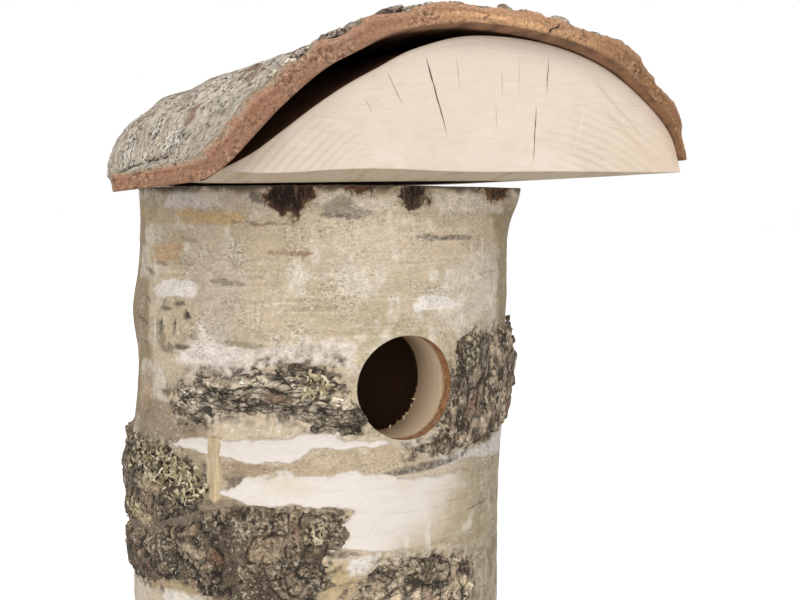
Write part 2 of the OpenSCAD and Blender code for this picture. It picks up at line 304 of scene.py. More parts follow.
def ragged(phi, drop, amount, seed):
    """Place on the bark shifted by noise, as angle and drop: an edge measured from it comes out torn."""
    p = unrolled(phi, drop)
    a = noise(p, (7, 4, 1), seed) + 0.5 * noise(p, (2.4, 1.6, 1), seed + 1)
    a = a + 0.3 * noise(p, (1.1, 0.8, 1), seed + 4)
    b = noise(p, (7, 4, 1), seed + 2) + 0.6 * noise(p, (2, 1.4, 1), seed + 3)
    b = b + 0.3 * noise(p, (0.9, 0.7, 1), seed + 5)
    return phi + 2.2 * amount * a / ARC, drop + 0.9 * amount * b


def torn(phi, drop, outline, amount, seed):
    """Distance in mm to an outline whose edge is torn, positive inside."""
    return edge_distance(*ragged(phi, drop, amount, seed), outline)


def lens(phi, drop, ends, half):
    """Mask of a lens-shaped mark: 1 along its middle line, 0 past a half-thickness that narrows
    to both ends."""
    (p0, d0), (p1, d1) = ends
    x, y = (phi - p0) * ARC, drop - d0
    lx, ly = (p1 - p0) * ARC, d1 - d0
    length = np.hypot(lx, ly)
    t = (x * lx + y * ly) / length ** 2
    side = np.abs(x * ly - y * lx) / length
    wide = half * np.sqrt(np.clip(1 - (2 * t - 1) ** 2, 0, 1))
    return ease((wide - side) / (0.35 * half) + 0.2) * (wide > 0)


def curve(knots, t):
    """Smooth curve through the knots, a cubic between each two that leaves a knot along its
    neighbours' chord."""
    n = len(knots) - 1
    i = np.minimum(np.floor(t * n).astype(int), n - 1)
    s = (t * n - i)[..., None]
    a, b, c, d = knots[np.maximum(i - 1, 0)], knots[i], knots[i + 1], knots[np.minimum(i + 2, n)]
    bent = 2 * b + (c - a) * s + (2 * a - 5 * b + 4 * c - d) * s ** 2
    return 0.5 * (bent + (3 * b - a - 3 * c + d) * s ** 3)


def rounded(stations):
    """Outline of a raised piece from its stations, each an angle and the drops of the upper and lower edge as
    shares of the log's height: the smooth upper edge out and the lower one back, as in the solids."""
    e = curve(np.array(stations, float), np.linspace(0, 1, 41))
    upper_edge, lower_edge = e[:, [0, 1]], e[:, [0, 2]]
    return np.concatenate([upper_edge, lower_edge[::-1]]) * (1, LOG_H)


LEFT = rounded([(-73, 0.343, 0.357), (-64, 0.302, 0.386), (-53, 0.308, 0.356), (-42, 0.288, 0.358),
                (-31, 0.277, 0.368), (-21, 0.282, 0.394), (-15, 0.34, 0.397), (-10.5, 0.377, 0.392)])
RIGHT = rounded([(3, 0.42, 0.43), (10, 0.4, 0.434), (15, 0.33, 0.436), (20, 0.252, 0.432), (30, 0.244, 0.427),
                 (45, 0.24, 0.414), (58, 0.238, 0.405), (68, 0.263, 0.385), (74, 0.305, 0.335)])
FLANK = rounded([(-128, 0.48, 0.52), (-116, 0.425, 0.57), (-104, 0.415, 0.58), (-90, 0.42, 0.572),
                 (-76, 0.424, 0.552), (-67, 0.434, 0.536), (-62, 0.455, 0.527), (-59, 0.48, 0.512)])
LOWER_LEFT = rounded([(-118, 0.592, 0.645), (-104, 0.588, 0.668), (-88, 0.579, 0.668), (-72, 0.556, 0.648),
                      (-60, 0.532, 0.655), (-50, 0.516, 0.735), (-40, 0.511, 0.772), (-30, 0.511, 0.745),
                      (-24, 0.512, 0.62), (-18, 0.514, 0.528)])
LOWER_RIGHT = rounded([(-17, 0.665, 0.715), (-12, 0.617, 0.745), (-4, 0.604, 0.76), (4, 0.6, 0.763),
                       (13, 0.604, 0.75), (21, 0.615, 0.715), (27.5, 0.642, 0.668)])
REAR_LEFT = rounded([(-182, 0.37, 0.43), (-172, 0.31, 0.52), (-158, 0.29, 0.55), (-146, 0.31, 0.53),
                     (-135, 0.4, 0.45)])
REAR_RIGHT = rounded([(86, 0.52, 0.57), (96, 0.465, 0.65), (112, 0.44, 0.685), (128, 0.46, 0.655),
                      (138, 0.55, 0.6)])
REAR_LOW = rounded([(139, 0.77, 0.81), (152, 0.705, 0.855), (172, 0.685, 0.88), (192, 0.7, 0.86),
                    (206, 0.76, 0.8)])
BASE = rounded([(30, 0.86, 0.89), (42, 0.82, 0.925), (60, 0.8, 0.937), (78, 0.815, 0.925), (90, 0.855, 0.89)])
ROUGH_OUTLINES = [LEFT, RIGHT, FLANK, LOWER_LEFT, LOWER_RIGHT, REAR_LEFT, REAR_RIGHT, REAR_LOW, BASE]
KNOT = rounded([(-80, 0.2, 0.25), (-75, 0.18, 0.274), (-68, 0.177, 0.272), (-61, 0.19, 0.245)])
STRIP = rounded([(-58, 0.401, 0.5), (-56, 0.4, 0.505), (-54, 0.401, 0.5)])

# Outlines with torn edges, each a few corners of angle and drop read off the photograph
BAND = [(-73, 80), (-66, 77.5), (-54, 76.5), (-44, 76.5), (-36, 75.7), (-30, 73.5), (-22, 73.5), (-17, 75.5),
        (-11, 76), (-6, 78), (-11, 78.5), (-18, 78.5), (-27, 79), (-33, 83), (-40, 83.5), (-50, 82.5),
        (-60, 82), (-68, 81)]
SHEET = [(-54, 93), (-46, 88), (-35, 86), (-32, 87), (-22, 87), (-15, 85.5), (-9, 87), (-3, 89), (11, 89.5),
         (24, 90), (34, 98), (30, 108), (18, 112), (4, 111), (-8, 110.5), (-18, 109.5), (-25, 110),
         (-22, 104), (-17, 100), (-15, 97), (-22, 96), (-44, 95.5), (-50, 94.8)]
SCAR_WIDE = [(-42, -1), (-26, -1), (-28.5, 4), (-31, 9), (-33.4, 11.6), (-35.6, 9), (-38.5, 4.5)]
SCAR_SMALL = [(-18.5, -1), (-8, -1), (-10.5, 2), (-13.6, 3.8), (-16.2, 2)]
SCAR_DEEP = [(-2.5, -1), (7, -1), (7.4, 4), (4.5, 7), (2, 7.3), (-0.5, 5)]
SCAR_RIGHT = [(25, -1), (52, -1), (48, 3), (43, 4.4), (36, 5.4), (30, 3)]

# flat colour areas of the paper bark: outline, colour, softness in mm, strength
AREAS = [
    ([(22, 89), (48, 87), (64, 142), (30, 150), (24, 119), (20, 112), (30, 106)], "AC9C80", 5, 0.75),
    ([(-112, 2), (-93, 2), (-88, 30), (-84, 56), (-80, 74), (-112, 76)], "897352", 5, 0.85),
    ([(37, 7), (70, 3), (70, 46), (43, 46), (40, 25)], "96835B", 6, 0.85),
    ([(52, 27), (56, 26), (58, 38), (54, 39)], "8E6E4A", 2.5, 0.6),
    ([(22, 22), (40, 20), (38, 40), (20, 46), (8, 40), (12, 28)], "DDD1C0", 7, 0.7),
    ([(-64, 20), (-50, 20), (-46, 38), (-52, 48), (-64, 44)], "B8A895", 6, 0.65),
    ([(-24, 10), (-2, 8), (-4, 26), (-14, 34), (-26, 26)], "D0C2AE", 7, 0.45),
    ([(-72, 53), (-66, 46), (-59, 41), (-55, 46), (-44, 49), (-29, 47), (-14, 46), (-15.5, 55), (-25, 53),
      (-34, 53), (-40, 54), (-49, 60), (-54, 62), (-57, 57), (-64, 55)], "DDD1C6", 2.2, 0.9),
    ([(-97, 56), (-86, 56), (-76, 59), (-72, 65), (-78, 67), (-92, 66)], "CFC1B0", 1.6, 0.85),
    ([(-94, 68), (-70, 67.5), (-60, 71), (-58, 78), (-72, 79.5), (-94, 80)], "8F7D67", 2.0, 0.85),
    ([(-116, 104), (-84, 104), (-66, 99), (-56, 99), (-58, 104), (-70, 110), (-90, 116), (-116, 118)],
     "574A3D", 1.6, 0.9),
    ([(8, 2.5), (24, 1.5), (36, 5.5), (44, 5), (46, 9), (30, 8.5), (10, 8)], "DFD3C2", 1.6, 0.75),
    ([(-26, 2), (-19, 1), (-17, 3.4), (-10, 4), (-3, 2.5), (-4, 8), (-12, 7.4), (-18, 4.6), (-25, 5)],
     "DFD3C2", 1.4, 0.7),
    ([(-83, 31.6), (-78, 29.4), (-70, 28.4), (-63, 28.6), (-59.5, 31), (-63, 33.8), (-72, 34), (-80, 34.6)],
     "E2D8CE", 0.8, 0.95),
    ([(-96, 3), (-84, 2.5), (-79, 6), (-82, 10), (-88, 12), (-96, 10)], "A08D68", 2.0, 0.75),
    ([(-92, 13), (-84, 11.5), (-78, 13), (-80, 16.5), (-90, 17.5)], "D8CCBB", 2.0, 0.55),
    ([(-98, 19), (-90, 18), (-86, 24), (-89, 29), (-97, 29)], "CFC3B2", 2.0, 0.75),
    ([(-95, 60), (-88, 57), (-84, 62), (-87, 71), (-95, 72)], "A58A6C", 2.0, 0.7),
    ([(-76, 5.5), (-74, 2), (-66, 1), (-53, 2), (-54, 5.6), (-62, 6.8), (-70, 6.8)], "DFD5CA", 1.0, 0.95),
    ([(-0.5, 35.2), (5, 33.2), (9, 33.2), (20, 36), (11, 37.6), (1, 37.8)], "ECE3D9", 0.7, 0.95),
    ([(11, 85), (20, 82.5), (31, 83), (49, 80), (56, 80), (54, 88), (42, 88.5), (36, 87), (24, 85.5),
      (15, 86.5)], "DDD4CC", 1.2, 0.95),
    ([(-18, 113), (-7, 112), (-8, 115), (-12, 116), (-17, 117)], "E2D9CE", 0.8, 0.95),
    ([(-77, 128.5), (-70, 126.5), (-61, 126), (-56, 129), (-58, 137), (-77, 139)], "DDD3C6", 0.9, 0.95),
    ([(-86, 125), (-72, 122), (-57, 119), (-54, 124), (-62, 126), (-72, 126.5), (-84, 129)],
     "A8926C", 1.6, 0.85),
    ([(-54, 82.5), (-40, 84), (-33, 83), (-25, 79.5), (-18, 79), (-6, 78.5), (5, 82), (12, 85), (5, 85.5),
      (-10, 86.5), (-15, 85.5), (-22, 87), (-32, 87.5), (-35, 86.5), (-46, 88.5), (-51, 90)],
     "BBA789", 1.2, 0.9),
    ([(-55, 82.5), (-40, 84), (-36, 84.5), (-40, 87), (-47, 88.3), (-55, 90)], "947F66", 1.6, 0.75),
    ([(-72, 8), (-64, 7), (-48, 8), (-46, 10), (-51, 11.2), (-63, 11.2), (-71, 10)], "C9A873", 2.2, 0.8),
    ([(-84, 19), (-76, 17), (-68, 18), (-69, 22), (-76, 23.4), (-83, 23)], "B8966E", 2.2, 0.75),
    ([(-26, 113), (-18, 113), (-17, 117), (-13, 118), (-14, 122), (-18, 127), (-24, 126), (-27, 119)],
     "BFA87F", 1.2, 0.9),
    ([(-25, 5), (-19, 3), (-15, 5), (-11, 8), (-18, 9), (-25, 9)], "8E8475", 1.4, 0.8),
    ([(-44, 2), (-42, 1.5), (-39, 4), (-40, 6.2), (-44.5, 5)], "6F675B", 1.0, 0.85),
    ([(-54, 89), (-46, 87.5), (-44, 92), (-50, 94), (-54, 93)], "6E6154", 1.2, 0.85),
    ([(-60, 95), (-46, 95.5), (-47, 99), (-56, 103), (-62, 100)], "8B775E", 2.0, 0.8),
]
# lens-shaped breathing pores and dark streaks: two ends, half-thickness in mm, colour
PORES = [
    (((-57.5, 28.5), (-46, 29.3)), 0.95, "7D735F"), (((-56, 46.6), (-40, 48.2)), 0.95, "8F856C"),
    (((-39.5, 19.8), (-26.5, 20)), 0.9, "8D7257"), (((-51, 10.8), (-33, 11.4)), 0.6, "8C7458"),
    (((-69, 15.6), (-61, 17)), 0.9, "94826A"), (((-82, 23.6), (-74, 24.2)), 0.8, "8B725A"),
    (((-71, 23.8), (-63, 24.4)), 0.5, "9C8F80"), (((2, 15.4), (13, 16)), 0.95, "766A62"),
    (((11, 15.8), (24.5, 15.6)), 1.05, "665B55"), (((-25, 8.9), (-11, 9.2)), 0.5, "6A6257"),
    (((24, 102.8), (37, 101.6)), 0.7, "6E6658"), (((-61.5, 55), (-54, 56.4)), 1.0, "6B6557"),
    (((-10, 87.2), (19, 85)), 1.5, "5A5148"), (((-26, 110.4), (-13.5, 111)), 1.1, "635A4C"),
    (((-38, 35.6), (-20, 36.4)), 0.45, "A2967C"), (((-16, 42), (-3, 41)), 0.4, "AA9D82"),
    (((13, 98.5), (24, 97)), 0.35, "A59A80"), (((-4, 104.5), (12, 101.5)), 0.45, "C9BBA0"),
    (((26, 27.5), (40, 27)), 0.4, "A39878"), (((-80, 64), (-66, 63)), 0.7, "85795F"),
    (((-91, 26), (-81, 27.2)), 0.8, "6F634E"), (((-97, 42), (-86, 43.4)), 1.0, "5E5342"),
    (((-98, 49), (-88, 49.6)), 0.8, "6A5E4A"), (((-90, 34.5), (-84, 37)), 0.9, "54483A"),
]


def rear_pores():
    """Breathing pores where the log goes on out of the photograph's sight: seeded places, lengths
    and thicknesses."""
    rng = np.random.default_rng(31)
    marks = []
    for at, drop, long, half in zip(rng.uniform(64, 250, 34), rng.uniform(6, 184, 34),
                                    rng.uniform(5, 15, 34), rng.uniform(0.4, 1.0, 34)):
        marks.append((((at - long / 2, drop), (at + long / 2, drop + 0.6)), half, "7C725F"))
    for at, drop, long in zip(rng.uniform(-105, 60, 9), rng.uniform(150, 186, 9), rng.uniform(6, 14, 9)):
        marks.append((((at - long / 2, drop), (at + long / 2, drop + 0.5)), 0.7, "7C725F"))
    return marks


def bark_relief(phi, drop):
    """Fine relief of the paper bark in mm: level lines and slow dents."""
    p = unrolled(phi, drop)
    return 0.1 * layers(p, (12, 1.6, 1), 83) + 0.16 * noise(p, (9, 9, 1), 89)


def paper_bark(phi, drop):
    """Relief in mm and colour of the paper bark: beige ground with olive and pink drifts, flat colour areas,
    pores, dirt at the rough plates and a brown sawn rim, darkened further by painted shade from the roof."""
    p = unrolled(phi, drop)
    # drifts, level lines and, last, pale scuffs that run up and down
    tint = mottled(plain("CDBBA0", p), p, (
        ("B0A081", (30, 18), 41, 1.3, 0.42, 0.8), ("D2C4B8", (20, 28), 53, 1.8, -0.1, 0.7),
        ("E0D5C3", (14, 1.1), 61, 1.8, -0.3, 0.5), ("9C8C70", (12, 1.0), 67, 1.8, -0.45, 0.5),
        ("E6DDCE", (4, 9), 71, 2.2, -0.45, 0.65)))
    # white drifts where nothing was read off
    aside = np.abs((phi - VIEW_PHI + 180) % 360 - 180)
    unseen = np.maximum(ease((aside - 93) / 8), ease((drop - 134) / 6))
    white = ease(layers(p, (34, 7, 1), 77) * 3 - 0.75) * unseen
    tint = over(tint, "E2DAD0", white * 0.9)
    relief = bark_relief(phi, drop) + 0.15 * white
    blotch = layers(p, (2.6, 1.4, 1), 101)
    torn_phi, torn_drop = ragged(phi, drop, 0.9, 5)
    for outline, code, soft, strength in AREAS:
        mask = ease(edge_distance(torn_phi, torn_drop, outline) / soft + 0.5) * strength
        varied = 1 + (0.08 if strength > 0.9 else 0.26) * blotch
        tint = tint * (1 - mask[..., None]) + linear(code) * (varied * mask)[..., None]
        relief = relief + (0.15 * mask if soft < 1.3 else 0)
    # olive and pale blotches on the right, below the entry hole
    right = ease((phi - 26) / 14) * ease((90 - phi) / 14) * ease((drop - 86) / 6) * ease((160 - drop) / 20)
    tint = mottled(tint, p, (("7A6B4B", (5, 6), 99, 2.4, -0.1, 0.6),
                             ("DDD2BE", (4, 5), 103, 2.6, -0.6, 0.6)), right)
    speckle = 0.75 + 0.35 * noise(p, (0.9, 0.7, 1), 93)
    pore_phi = phi + 0.5 * noise(p, (2, 2, 1), 91)
    pore_drop = drop + 0.45 * noise(p, (2.6, 1.6, 1), 92)
    for ends, half, code in PORES + rear_pores():
        mask = lens(pore_phi, pore_drop, ends, half) * speckle
        tint = over(tint, code, mask * 0.95)
        relief = relief + 0.18 * mask
    # dirt and dark crumbs that gather where the rough plates begin
    crumb = layers(p, (1.5, 1.5, 1), 95)
    torn_phi, torn_drop = ragged(phi, drop, 1.6, 45)
    for outline in ROUGH_OUTLINES:
        away = edge_distance(torn_phi, torn_drop, outline)
        tint = over(tint, "8A7A64", ease(1.1 + away / 5) * ease(0.5 + 1.2 * crumb) * 0.75)
        tint = over(tint, "4A3E33", ease(1.1 + away / 3.4) * ease(crumb * 3.5 - 0.3) * 0.75)
    tint = shaded(tint, 0.12 * layers(p, (1.5, 1.5, 1), 97))
    # brown sawn rim, widened and darkened further as painted shade under the roof
    tint = over(tint, "46331F", ease(1.2 - drop / (1.9 + 1.4 * noise(p, (4, 9, 1), 105))) * 0.9)
    return relief, tint


def open_hole(p):
    """Cuts the entry hole: cells whose middle lies inside the bore go, and the points left on the cut are
    drawn straight out to the bore's circle."""
    away = np.hypot(p[..., 0], p[..., 2] - HOLE_Z)
    middle = sum(corners(p)) / 4
    keep = (np.hypot(middle[..., 0], middle[..., 2] - HOLE_Z) > HOLE_R) | (middle[..., 1] > 0)
    kept = np.zeros(p.shape[:2], bool)
    lost = kept.copy()
    for corner in CORNERS:
        kept[corner] |= keep
        lost[corner] |= ~keep
    cut = kept & lost
    k = np.where(cut, HOLE_R / np.maximum(away, 1e-6), 1.0)
    r = np.hypot(p[..., 0], p[..., 1])
    x = p[..., 0] * k
    y = np.where(cut, -np.sqrt(np.maximum(r * r - x * x, 0)), p[..., 1])
    z = HOLE_Z + (p[..., 2] - HOLE_Z) * k
    return np.stack([x, y, z], -1), keep


def bark_sheet(phis, drops):
    """Grid of the paper bark over some angles and drops, with its hole."""
    phi, drop = np.meshgrid(phis, drops)
    relief, tint = paper_bark(phi, drop)
    p, keep = open_hole(on_log(phi, log_radius(phi, drop) + relief, drop))
    return sheet(p, tint, 0, keep, flip=True)


def hole_lip():
    """The bark's own thickness inside the hole: a ring from the bark's face to the wood along the bore."""
    turn = np.linspace(0, 2 * np.pi, 181)
    x, z = HOLE_R * np.cos(turn), HOLE_Z + HOLE_R * np.sin(turn)
    drop = LOG_H - z
    face = LOG_R
    for _ in range(4):
        phi = np.degrees(np.arcsin(x / face))
        face = log_radius(phi, drop) + bark_relief(phi, drop)
    out, back = -np.sqrt(face ** 2 - x ** 2), -np.sqrt(WOOD_R ** 2 - x ** 2)
    t = np.linspace(0, 1, 9)[:, None]
    p = np.stack([x + 0 * t, out + (back - out) * t, z + 0 * t], -1)
    grain = layers(np.stack([x * 3 + 0 * t, p[..., 1] * 8, z * 3 + 0 * t], -1), (4, 4, 4), 7)
    tint = over(plain("A9754E", p), "C79A6E", ease(grain * 1.5))
    tint = over(tint, "6B4A33", ease(1 - t / 0.18) * 0.6 + 0 * grain)
    tint = over(tint, "D8BE95", ease((t - 0.72) / 0.2) * 0.8 + 0 * grain)
    return sheet(p, tint, 1, flip=True)


def ring(drop, up):
    """Flat sawn ring of bark at the rim or the base, from the wood out to the bark's face."""
    phi = np.linspace(-180, 180, 361)
    t = np.linspace(0, 1, 6)[:, None]
    edge = log_radius(phi, np.full_like(phi, drop)) + bark_relief(phi, np.full_like(phi, drop))
    r = WOOD_R + (edge - WOOD_R) * t
    p = on_log(phi + 0 * t, r, drop + 0 * r)
    return sheet(p, shaded(plain("8E6445", p), 0.25 * layers(p, (2, 2, 2), 9)), 1, flip=not up)


# Raised pieces of bark

def over_outline(outline, step):
    """Grid of angles and drops over an outline's box, a margin beyond it each way, at an even step in mm."""
    points = np.array(outline, float)
    low, high = points.min(0) - (MARGIN / ARC, MARGIN), points.max(0) + (MARGIN / ARC, MARGIN)
    low[1] = max(low[1], 0.02)
    high[1] = min(high[1], LOG_H - 0.02)
    n = int((high[0] - low[0]) * ARC / step) + 2
    m = int((high[1] - low[1]) / step) + 2
    return np.meshgrid(np.linspace(low[0], high[0], n), np.linspace(low[1], high[1], m))


def raised(name, outline, form, material, step):
    """One raised piece: its form gives height and colour from the distance inside its torn outline. Outside
    the outline it dips under the bark that it grows from, and cells that lie wholly under it are left out."""
    phi, drop = over_outline(outline, step)
    height, tint = form(phi, drop)
    p, keep = open_hole(on_log(phi, log_radius(phi, drop) + bark_relief(phi, drop) + height, drop))
    top = np.maximum.reduce(corners(height))
    return make(name, [sheet(p, tint, 0, keep & (top > -0.25), flip=True)], [material], (name,))


def spot(phi, drop, place, field):
    """Mask of an ellipse on the bark, given by its middle and half sizes, with an edge that a field makes
    uneven."""
    at, low, wide, tall = place
    return ease(1.5 - np.hypot((phi - at) * ARC / wide, (drop - low) / tall) + field)


def ridges(phi, drop):
    """Main ridges of the rough bark, from -1 to 1: a wave along the bark times one down it, each bent by the
    other, as in the solids."""
    x, y = phi * ARC, drop
    along = np.sin(2 * np.pi * x / RIDGE + np.radians(60) * np.sin(np.radians(200 * y / RIDGE)))
    return along * np.cos(2 * np.pi * y / RIDGE + np.radians(60) * np.sin(np.radians(200 * x / RIDGE)))


def rough_form(outline, rise, seed, size, code, lichen, rusty):
    """Old bark: the solid's ridges and furrows with fissures in them, where a noise of one size crosses zero.
    The fissures open and close along their length. Lichen stands on it in winding lobes inside some
    ellipses."""
    def form(phi, drop):
        p = unrolled(phi, drop, seed * 3.0)
        bend = np.stack([layers(p, (6, 6, 1), seed), layers(p, (6, 6, 1), seed + 4), 0 * drop], -1)
        crumble = layers(p, (2.4, 2.4, 1), seed + 30)
        path = layers(p + 2 * bend, (*size, 1), seed + 10, 3)
        split = ease(1.2 - np.abs(path) / (0.05 + 0.14 * ease(0.5 + layers(p, (12, 12, 1), seed + 34))))
        inside = torn(phi, drop, outline, 1.7, seed + 40) + 1.3 * crumble
        body = ease(inside / 3.2 + 0.25)
        height = (2.8 * rise - 0.5) * (1 - 0.6 * (0.5 - 0.5 * ridges(phi, drop)))
        height = height + 0.7 * path + 0.5 * crumble - 0.8 * split
        height = body * (height + 0.25) - 0.8 * (1 - body)
        tint = mottled(plain(code, p), p, (
            ("5C4A38", (7, 7), seed + 44, 1.4, 0.3, 0.8), ("B8A78B", (4, 4), seed + 46, 2.2, -0.45, 0.65),
            ("8E6653", (5, 5), seed + 48, 2.4, -0.9, 0.6)))
        tint = over(tint, "B3A488", ease(1.3 - inside / 2.2) * ease(0.4 + 1.2 * crumble) * 0.65)
        # painted shade and light: the colour darkens where the relief lies low and lightens on its high parts
        tint = tint * (0.5 + 0.9 * ease(0.5 + 0.8 * path + 0.5 * crumble))[..., None]
        tint = shaded(tint, 0.5 * layers(p, (1.5, 1.5, 1), seed + 50, 2))
        for place in rusty:
            tint = over(tint, "8C6852", spot(phi, drop, place, 0.6 * crumble) * 0.65)
        tint = over(tint, "1F1813", split * 0.9)
        for place in lichen:
            zone = spot(phi, drop, place, 0.9 * bend[..., 0])
            lobe = ease(1.25 - np.abs(layers(p + 0.8 * bend, (2.6, 2.6, 1), seed + 60, 2)) / 0.2)
            height = height + zone * (1.1 * lobe - 0.3)
            # painted shade under and between the raised lichen lobes
            tint = over(tint, "3A2F26", zone * (1 - lobe) * 0.75)
            tint = over(tint, "AE9F7C", zone * lobe * 0.95)
            tint = over(tint, "D8CCAC", zone * lobe * ease(crumble * 2) * 0.7)
        return height, tint
    return form


def peel_form(outline, code, seed, fade, rise, tear):
    """Loose paper bark: a thin even sheet, chalky, with fine level lines, that lifts a little along its edge.
    A fading sheet passes over into the bark's own colour and face toward its lower right."""
    def form(phi, drop):
        p = unrolled(phi, drop, seed * 3.0)
        inside = torn(phi, drop, outline, tear, seed)
        far = 0 * drop
        if fade:
            far = ease((phi * ARC + 1.1 * (drop - 92) + 4 * layers(p, (9, 6, 1), seed + 11) - 6) / 26)
        height = rise * (1 - 0.8 * far) * ease(inside / 0.5 + 0.6) - 0.5 * ease(-inside / 0.6)
        height = height + 0.3 * (1 - far) * ease(1 - np.abs(inside - 0.4) / 1.2)
        height = height + 0.08 * layers(p, (14, 1.6, 1), seed + 3)
        tint = mottled(plain(code, p), p, (("CDBFAC", (16, 1.6), seed + 5, 1.8, -0.3, 0.32),
                                           ("D5C5A6", (18, 9), seed + 9, 1.6, -0.2, 0.5)))
        tint = over(tint, "A28F74", ease(1 - (inside + 0.1) / 0.6) * 0.5 * (1 - far))
        if tear < 0.5:
            tint = shaded(tint, 0.35 * layers(p, (0.9, 9, 1), seed + 13))
        if fade:
            tint = blend(tint, paper_bark(phi, drop)[1], far)
        return height, tint
    return form


def knot_form(phi, drop):
    """Grown-over knot: a low dome that rises out of the bark around it, with dark slits and mottled
    grey skin."""
    p = unrolled(phi, drop, 11.0)
    inside = torn(phi, drop, KNOT, 0.7, 131)
    crumb = layers(p, (3.2, 3.6, 1), 133)
    height = 1.7 * ease(inside / 5) + 0.7 * crumb * ease(inside / 2) - 0.4 * ease(-inside / 0.8)
    skin = over(plain("B9A88C", p), "877962", ease(crumb * 1.8 + 0.2) * 0.85)
    skin = mottled(skin, p, [("D3C6AE", (2.6, 3.4), 137, 2, -0.4, 0.7)])
    tint = blend(paper_bark(phi, drop)[1], skin, ease(inside / 3 - 0.1 + 0.4 * crumb))
    for place in ((-64.5, 38.4, 1.1, 2.1), (-74, 43, 0.7, 2.4), (-68.5, 42.4, 0.8, 1.2),
                  (-72, 37.6, 2.2, 0.7), (-67, 35.8, 3.0, 0.6), (-67, 49.2, 2.6, 0.7)):
        slit = spot(phi, drop, place, 0.3 * crumb)
        narrow = place[2] < 1.4
        tint = over(tint, "2B221A" if narrow else "6E6552", slit)
        height = height - (1.2 if narrow else 0.2) * slit
    return height, tint


def scar_form(outline, code, deep, seed):
    """Torn scar at the rim: bare inner bark in upright fibres, dark in the middle, with a pale
    frayed border."""
    def form(phi, drop):
        p = unrolled(phi, drop, seed * 3.0)
        inside = torn(phi, drop, outline, 1.2, seed)
        fibre = layers(p, (0.9, 5, 1), seed + 1)
        height = 0.35 * ease(1 - np.abs(inside - 0.2) / 0.9) + 0.55 * fibre * ease(inside) + 0.15
        height = np.maximum(height, 0.1)
        height = np.where(inside < -0.5, -0.4, height)
        tint = over(plain(code, p), deep, ease(inside / 2.2 - 0.3 - 0.8 * fibre))
        tint = over(tint, "9A7B5F", ease(fibre * 2 - 0.7) * 0.7)
        tint = over(tint, "CDBDA3", ease(1 - np.abs(inside) / 0.7) * ease(0.6 + fibre) * 0.75)
        return height, blend(paper_bark(phi, drop)[1], tint, ease(inside / 1.2 + 0.42 + 1.2 * fibre))
    return form


def strands(name, roots, along, outward, length, wide, bend, codes, material, seed):
    """Small curling strands, all at once: each starts at a root, runs along a direction for its length,
    swings sideways by a sine and stands off the surface, as a narrow strip with three points across."""
    rng = np.random.default_rng(seed)
    n, steps = len(roots), 6
    side = np.cross(along, outward)
    t = np.linspace(0, 1, steps)[None, :, None]
    phase, swing = rng.uniform(0, 6.3, (n, 1, 1)), rng.uniform(0.4, 1, (n, 1, 1)) * bend
    lift = rng.uniform(0.3, 1, (n, 1, 1)) * bend
    ell = length[:, None, None]
    spine = roots[:, None] + along[:, None] * ell * t
    spine = spine + side[:, None] * (swing * np.sin(phase + 4 * t) - swing * np.sin(phase))
    spine = spine + outward[:, None] * (lift * np.sin(np.pi * t * 0.9) + 0.15)
    half = wide[:, None, None] * (1 - 0.75 * t ** 2) / 2
    rows = [spine - side[:, None] * half, spine + outward[:, None] * half * 0.7, spine + side[:, None] * half]
    colour = np.array([linear(c) for c in codes])[rng.integers(0, len(codes), n)]
    p = np.stack(rows, 2)
    tint = np.broadcast_to(colour[:, None, None], p.shape) * rng.uniform(0.75, 1.15, (n, 1, 1, 1))
    keep = np.ones((n * steps - 1, 2), bool)
    keep[steps - 1::steps] = False
    grid = sheet(p.reshape(n * steps, 3, 3), tint.reshape(n * steps, 3, 3), 0, keep)
    return make(name, [grid], [material], ())


def lying(phi, lean):
    """Directions off the log and along its face at some angles: the second leans from level toward
    upright."""
    turn, lean = np.radians(phi), lean[:, None]
    outward = np.stack([np.sin(turn), -np.cos(turn), 0 * turn], -1)
    level = np.stack([np.cos(turn), np.sin(turn), 0 * turn], -1)
    return outward, level * np.cos(lean) + np.array([0, 0, 1.0]) * np.sin(lean)


def ball(turns, rises):
    """Grid of points on a sphere of radius 1, by turn and rise."""
    turn, rise = np.linspace(0, 2 * np.pi, turns), np.linspace(-np.pi / 2, np.pi / 2, rises)[:, None]
    return np.stack([np.cos(rise) * np.cos(turn), np.cos(rise) * np.sin(turn), np.sin(rise) + 0 * turn], -1)


def lichen_tufts(material):
    """Curled lobes at the lichen's edge: seeded places inside ellipses on the bark, each a short broad strand
    that lies in a random direction on the surface and stands off it."""
    rng = np.random.default_rng(12)
    spots = ((-80, 86, 12, 7, 90), (-66, 91, 9, 6, 90), (-26, 59, 5, 3.4, 30), (-88, 102, 6, 3, 14),
             (-30, 131, 5, 6, 26), (-26, 103, 3, 4, 14))
    phi, drop = [], []
    for at, low, wide, tall, count in spots:
        turn, out = rng.uniform(0, 2 * np.pi, count), np.sqrt(rng.uniform(0, 1, count))
        phi.append(at + wide * out * np.cos(turn))
        drop.append(low + tall * out * np.sin(turn))
    phi, drop = np.concatenate(phi), np.concatenate(drop)
    n = len(phi)
    outward, along = lying(phi, rng.uniform(0, 2 * np.pi, n))
    roots = on_log(phi, log_radius(phi, drop) + rng.uniform(1.8, 2.8, n), drop)
    return strands("lichen", roots, along, outward, rng.uniform(0.9, 2.8, n), rng.uniform(0.5, 1.7, n),
                   0.8, ["A39471", "C9BD9C", "B5A886", "8A7C5E", "D9CEB0"], material, 13)


